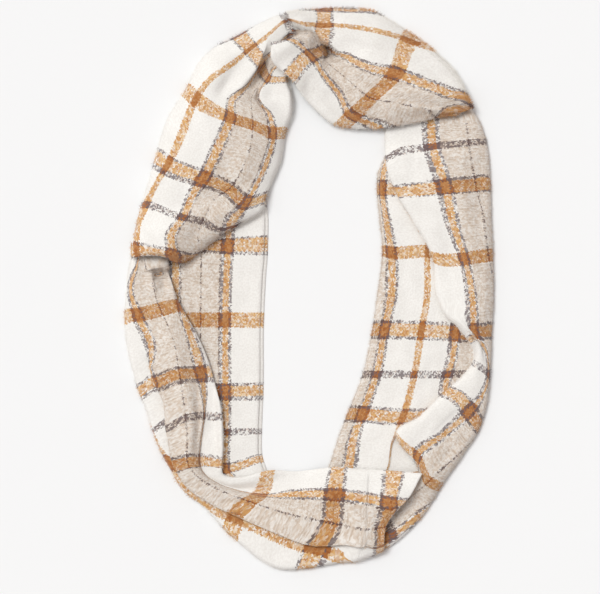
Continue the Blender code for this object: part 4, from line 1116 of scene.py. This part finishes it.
def cloth_material():
    """The brushed plaid cloth."""
    material, shader = new_material("plaid_cloth", CLOTH_FINISH)
    tree = Tree(material)
    colour, height = plaid(tree)
    tree.plug(shader.inputs["Base Color"], colour)
    bump = tree.nodes.new("ShaderNodeBump")
    for name, value in (("Strength", BUMP_STRENGTH), ("Distance", BUMP_DISTANCE), ("Height", height)):
        tree.plug(bump.inputs[name], value)
    tree.plug(shader.inputs["Normal"], bump.outputs[0])
    return material


def floor_piece():
    """A plain pale floor."""
    data = bpy.data.meshes.new("floor")
    signs = ((-1, -1), (1, -1), (1, 1), (-1, 1))
    data.from_pydata([(x * FLOOR_HALF, y * FLOOR_HALF, 0) for x, y in signs], [], [(0, 1, 2, 3)])
    data.materials.append(new_material("floor_paper", FLOOR_FINISH)[0])
    placed("floor", data)


def soft_sun(name, place, angle, strength, colour):
    """A far, broad light from a direction, so that the whole floor gets the same."""
    data = bpy.data.lights.new(name, "SUN")
    data.angle = math.radians(angle)
    data.energy = strength
    data.color = colour
    light = placed(name, data)
    light.location = place
    light.rotation_euler = (-Vector(place)).to_track_quat("-Z", "Y").to_euler()


def studio():
    """Camera, lights and surroundings."""
    data = bpy.data.cameras.new("camera")
    data.lens = CAMERA_LENS
    camera = placed("camera", data)
    distance = CAMERA_LENS / data.sensor_width * PHOTO_WIDTH * UNIT
    camera.location = (*plan_place(*PHOTO_MIDDLE), distance)
    data.clip_end = CAMERA_REACH
    bpy.context.scene.camera = camera
    for name, place, angle, strength, colour in LIGHTS:
        soft_sun(name, place, angle, strength, colour)
    world = bpy.data.worlds.new("surroundings")
    bpy.context.scene.world = world
    world.use_nodes = True
    background = world.node_tree.nodes["Background"]
    background.inputs[0].default_value = WORLD_COLOUR
    background.inputs[1].default_value = WORLD_STRENGTH
    settings = bpy.context.scene.view_settings
    settings.view_transform = "Standard"
    settings.look = "None"
    settings.exposure = 0
    settings.gamma = 1


def dress():
    """The stretches that show, from the lowest up. Returns the laid cloth and its material."""
    material = cloth_material()
    cloth = LaidCloth()
    for seed, row in enumerate(STRETCHES):
        name, node, rows, left_edge, right_edge, settled, flat, area, held, rests_on = row
        settled *= MILLIMETRE
        creases = CREASES.get(name, ())
        piece = shell(name, rows, left_edge, right_edge, settled, creases, seed + 1, cloth, material)
        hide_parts(node)
        fuzz(piece, seed, material)
    return cloth, material


def read_out(source, attribute, count, width):
    """One attribute of a mesh's parts, as rows of an array."""
    values = np.empty(count * width)
    source.foreach_get(attribute, values)
    return values.reshape(-1, width)


def fuzz(piece, seed, material):
    """Short fibres that stand off a stretch's outer side, each a narrow strip bent once."""
    data = piece.data
    count = len(data.polygons)
    centres = read_out(data.polygons, "center", count, 3)
    normals = read_out(data.polygons, "normal", count, 3)
    uv = read_out(data.uv_layers["weave"].data, "uv", len(data.loops), 2).reshape(-1, 4, 2).mean(axis=1)
    outside = np.nonzero((normals[:, 2] > FUZZ_LOWEST_SLOPE) & (np.arange(count) < count // 2))[0]
    chance = np.random.default_rng(FUZZ_SEED + seed)
    weight = FUZZ_ON_FLAT + (1 - normals[outside, 2]) ** 2
    chosen = chance.choice(outside, FUZZ_COUNT, p=weight / weight.sum())
    steep = 1 - normals[chosen, 2]
    length = FUZZ_LENGTH * (0.5 + chance.random(FUZZ_COUNT))
    length *= FUZZ_FLAT_LENGTH + (1 - FUZZ_FLAT_LENGTH) * steep
    turn = chance.random(FUZZ_COUNT) * 2 * math.pi
    lean = np.stack([np.cos(turn), np.sin(turn), np.zeros(FUZZ_COUNT)], -1)
    way = normals[chosen] + lean * FUZZ_LEAN
    way /= np.linalg.norm(way, axis=1)[:, None]
    side = np.cross(way, lean + FUZZ_ASIDE)
    side *= 0.5 * FUZZ_WIDTH / np.linalg.norm(side, axis=1)[:, None]
    base = centres[chosen] + (chance.random((FUZZ_COUNT, 3)) - 0.5) * UNIT
    middle = base + way * (FUZZ_BEND_AT * length)[:, None]
    tip = middle + (way * (1 - FUZZ_BEND) + lean * FUZZ_BEND) * (0.5 * length)[:, None]
    slim = side * FUZZ_TAPER
    points = np.stack([base - side, base + side, middle - slim, middle + slim, tip], 1)
    points[..., 2] = np.maximum(points[..., 2], FLOOR_GAP)
    start = np.arange(FUZZ_COUNT)[:, None] * FUZZ_CORNERS
    faces = np.concatenate([start + np.array(face) for face in FUZZ_FACES])
    places = np.repeat(uv[chosen], FUZZ_CORNERS, axis=0) * [WEAVE_REPEAT, WEFT_REPEAT]
    cloth_object(piece.name + "_fuzz", points.reshape(-1, 3), faces, places, material)


def inner_layers(frame, cloth, name, node, path, material):
    """The layers inside the fold, with the weave's places read along their path."""
    source = frame["nodes"][node].data
    points = read_out(source.vertices, "co", len(source.vertices), 3)
    room = widened(np.where(cloth.top > 0, cloth.bottom, NOTHING_ABOVE), np.minimum, ROOM_CELLS)
    room = softened(room, 1)
    ceiling = sampled(room, *cloth.cells(points)) - INNER_GAP
    points[:, 2] = np.clip(points[:, 2], 0, np.maximum(ceiling, 0))
    _, along, aside, _ = from_path(*in_plan(points), path)
    rise = np.where(points[:, 2] < FLOOR_GAP, 0, points[:, 2])
    places = np.stack([INNER_WEAVE - aside + rise / UNIT, along], -1)
    faces = np.array([tuple(face.vertices) for face in source.polygons])
    piece = cloth_object(name, points, faces, places, material)
    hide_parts(node)


def main():
    """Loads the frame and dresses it."""
    for leftover in list(bpy.data.objects):
        bpy.data.objects.remove(leftover, do_unlink=True)
    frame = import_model()
    studio()
    floor_piece()
    cloth, material = dress()
    for name, node, path, flat, area in INNER:
        inner_layers(frame, cloth, name, node, path, material)


main()
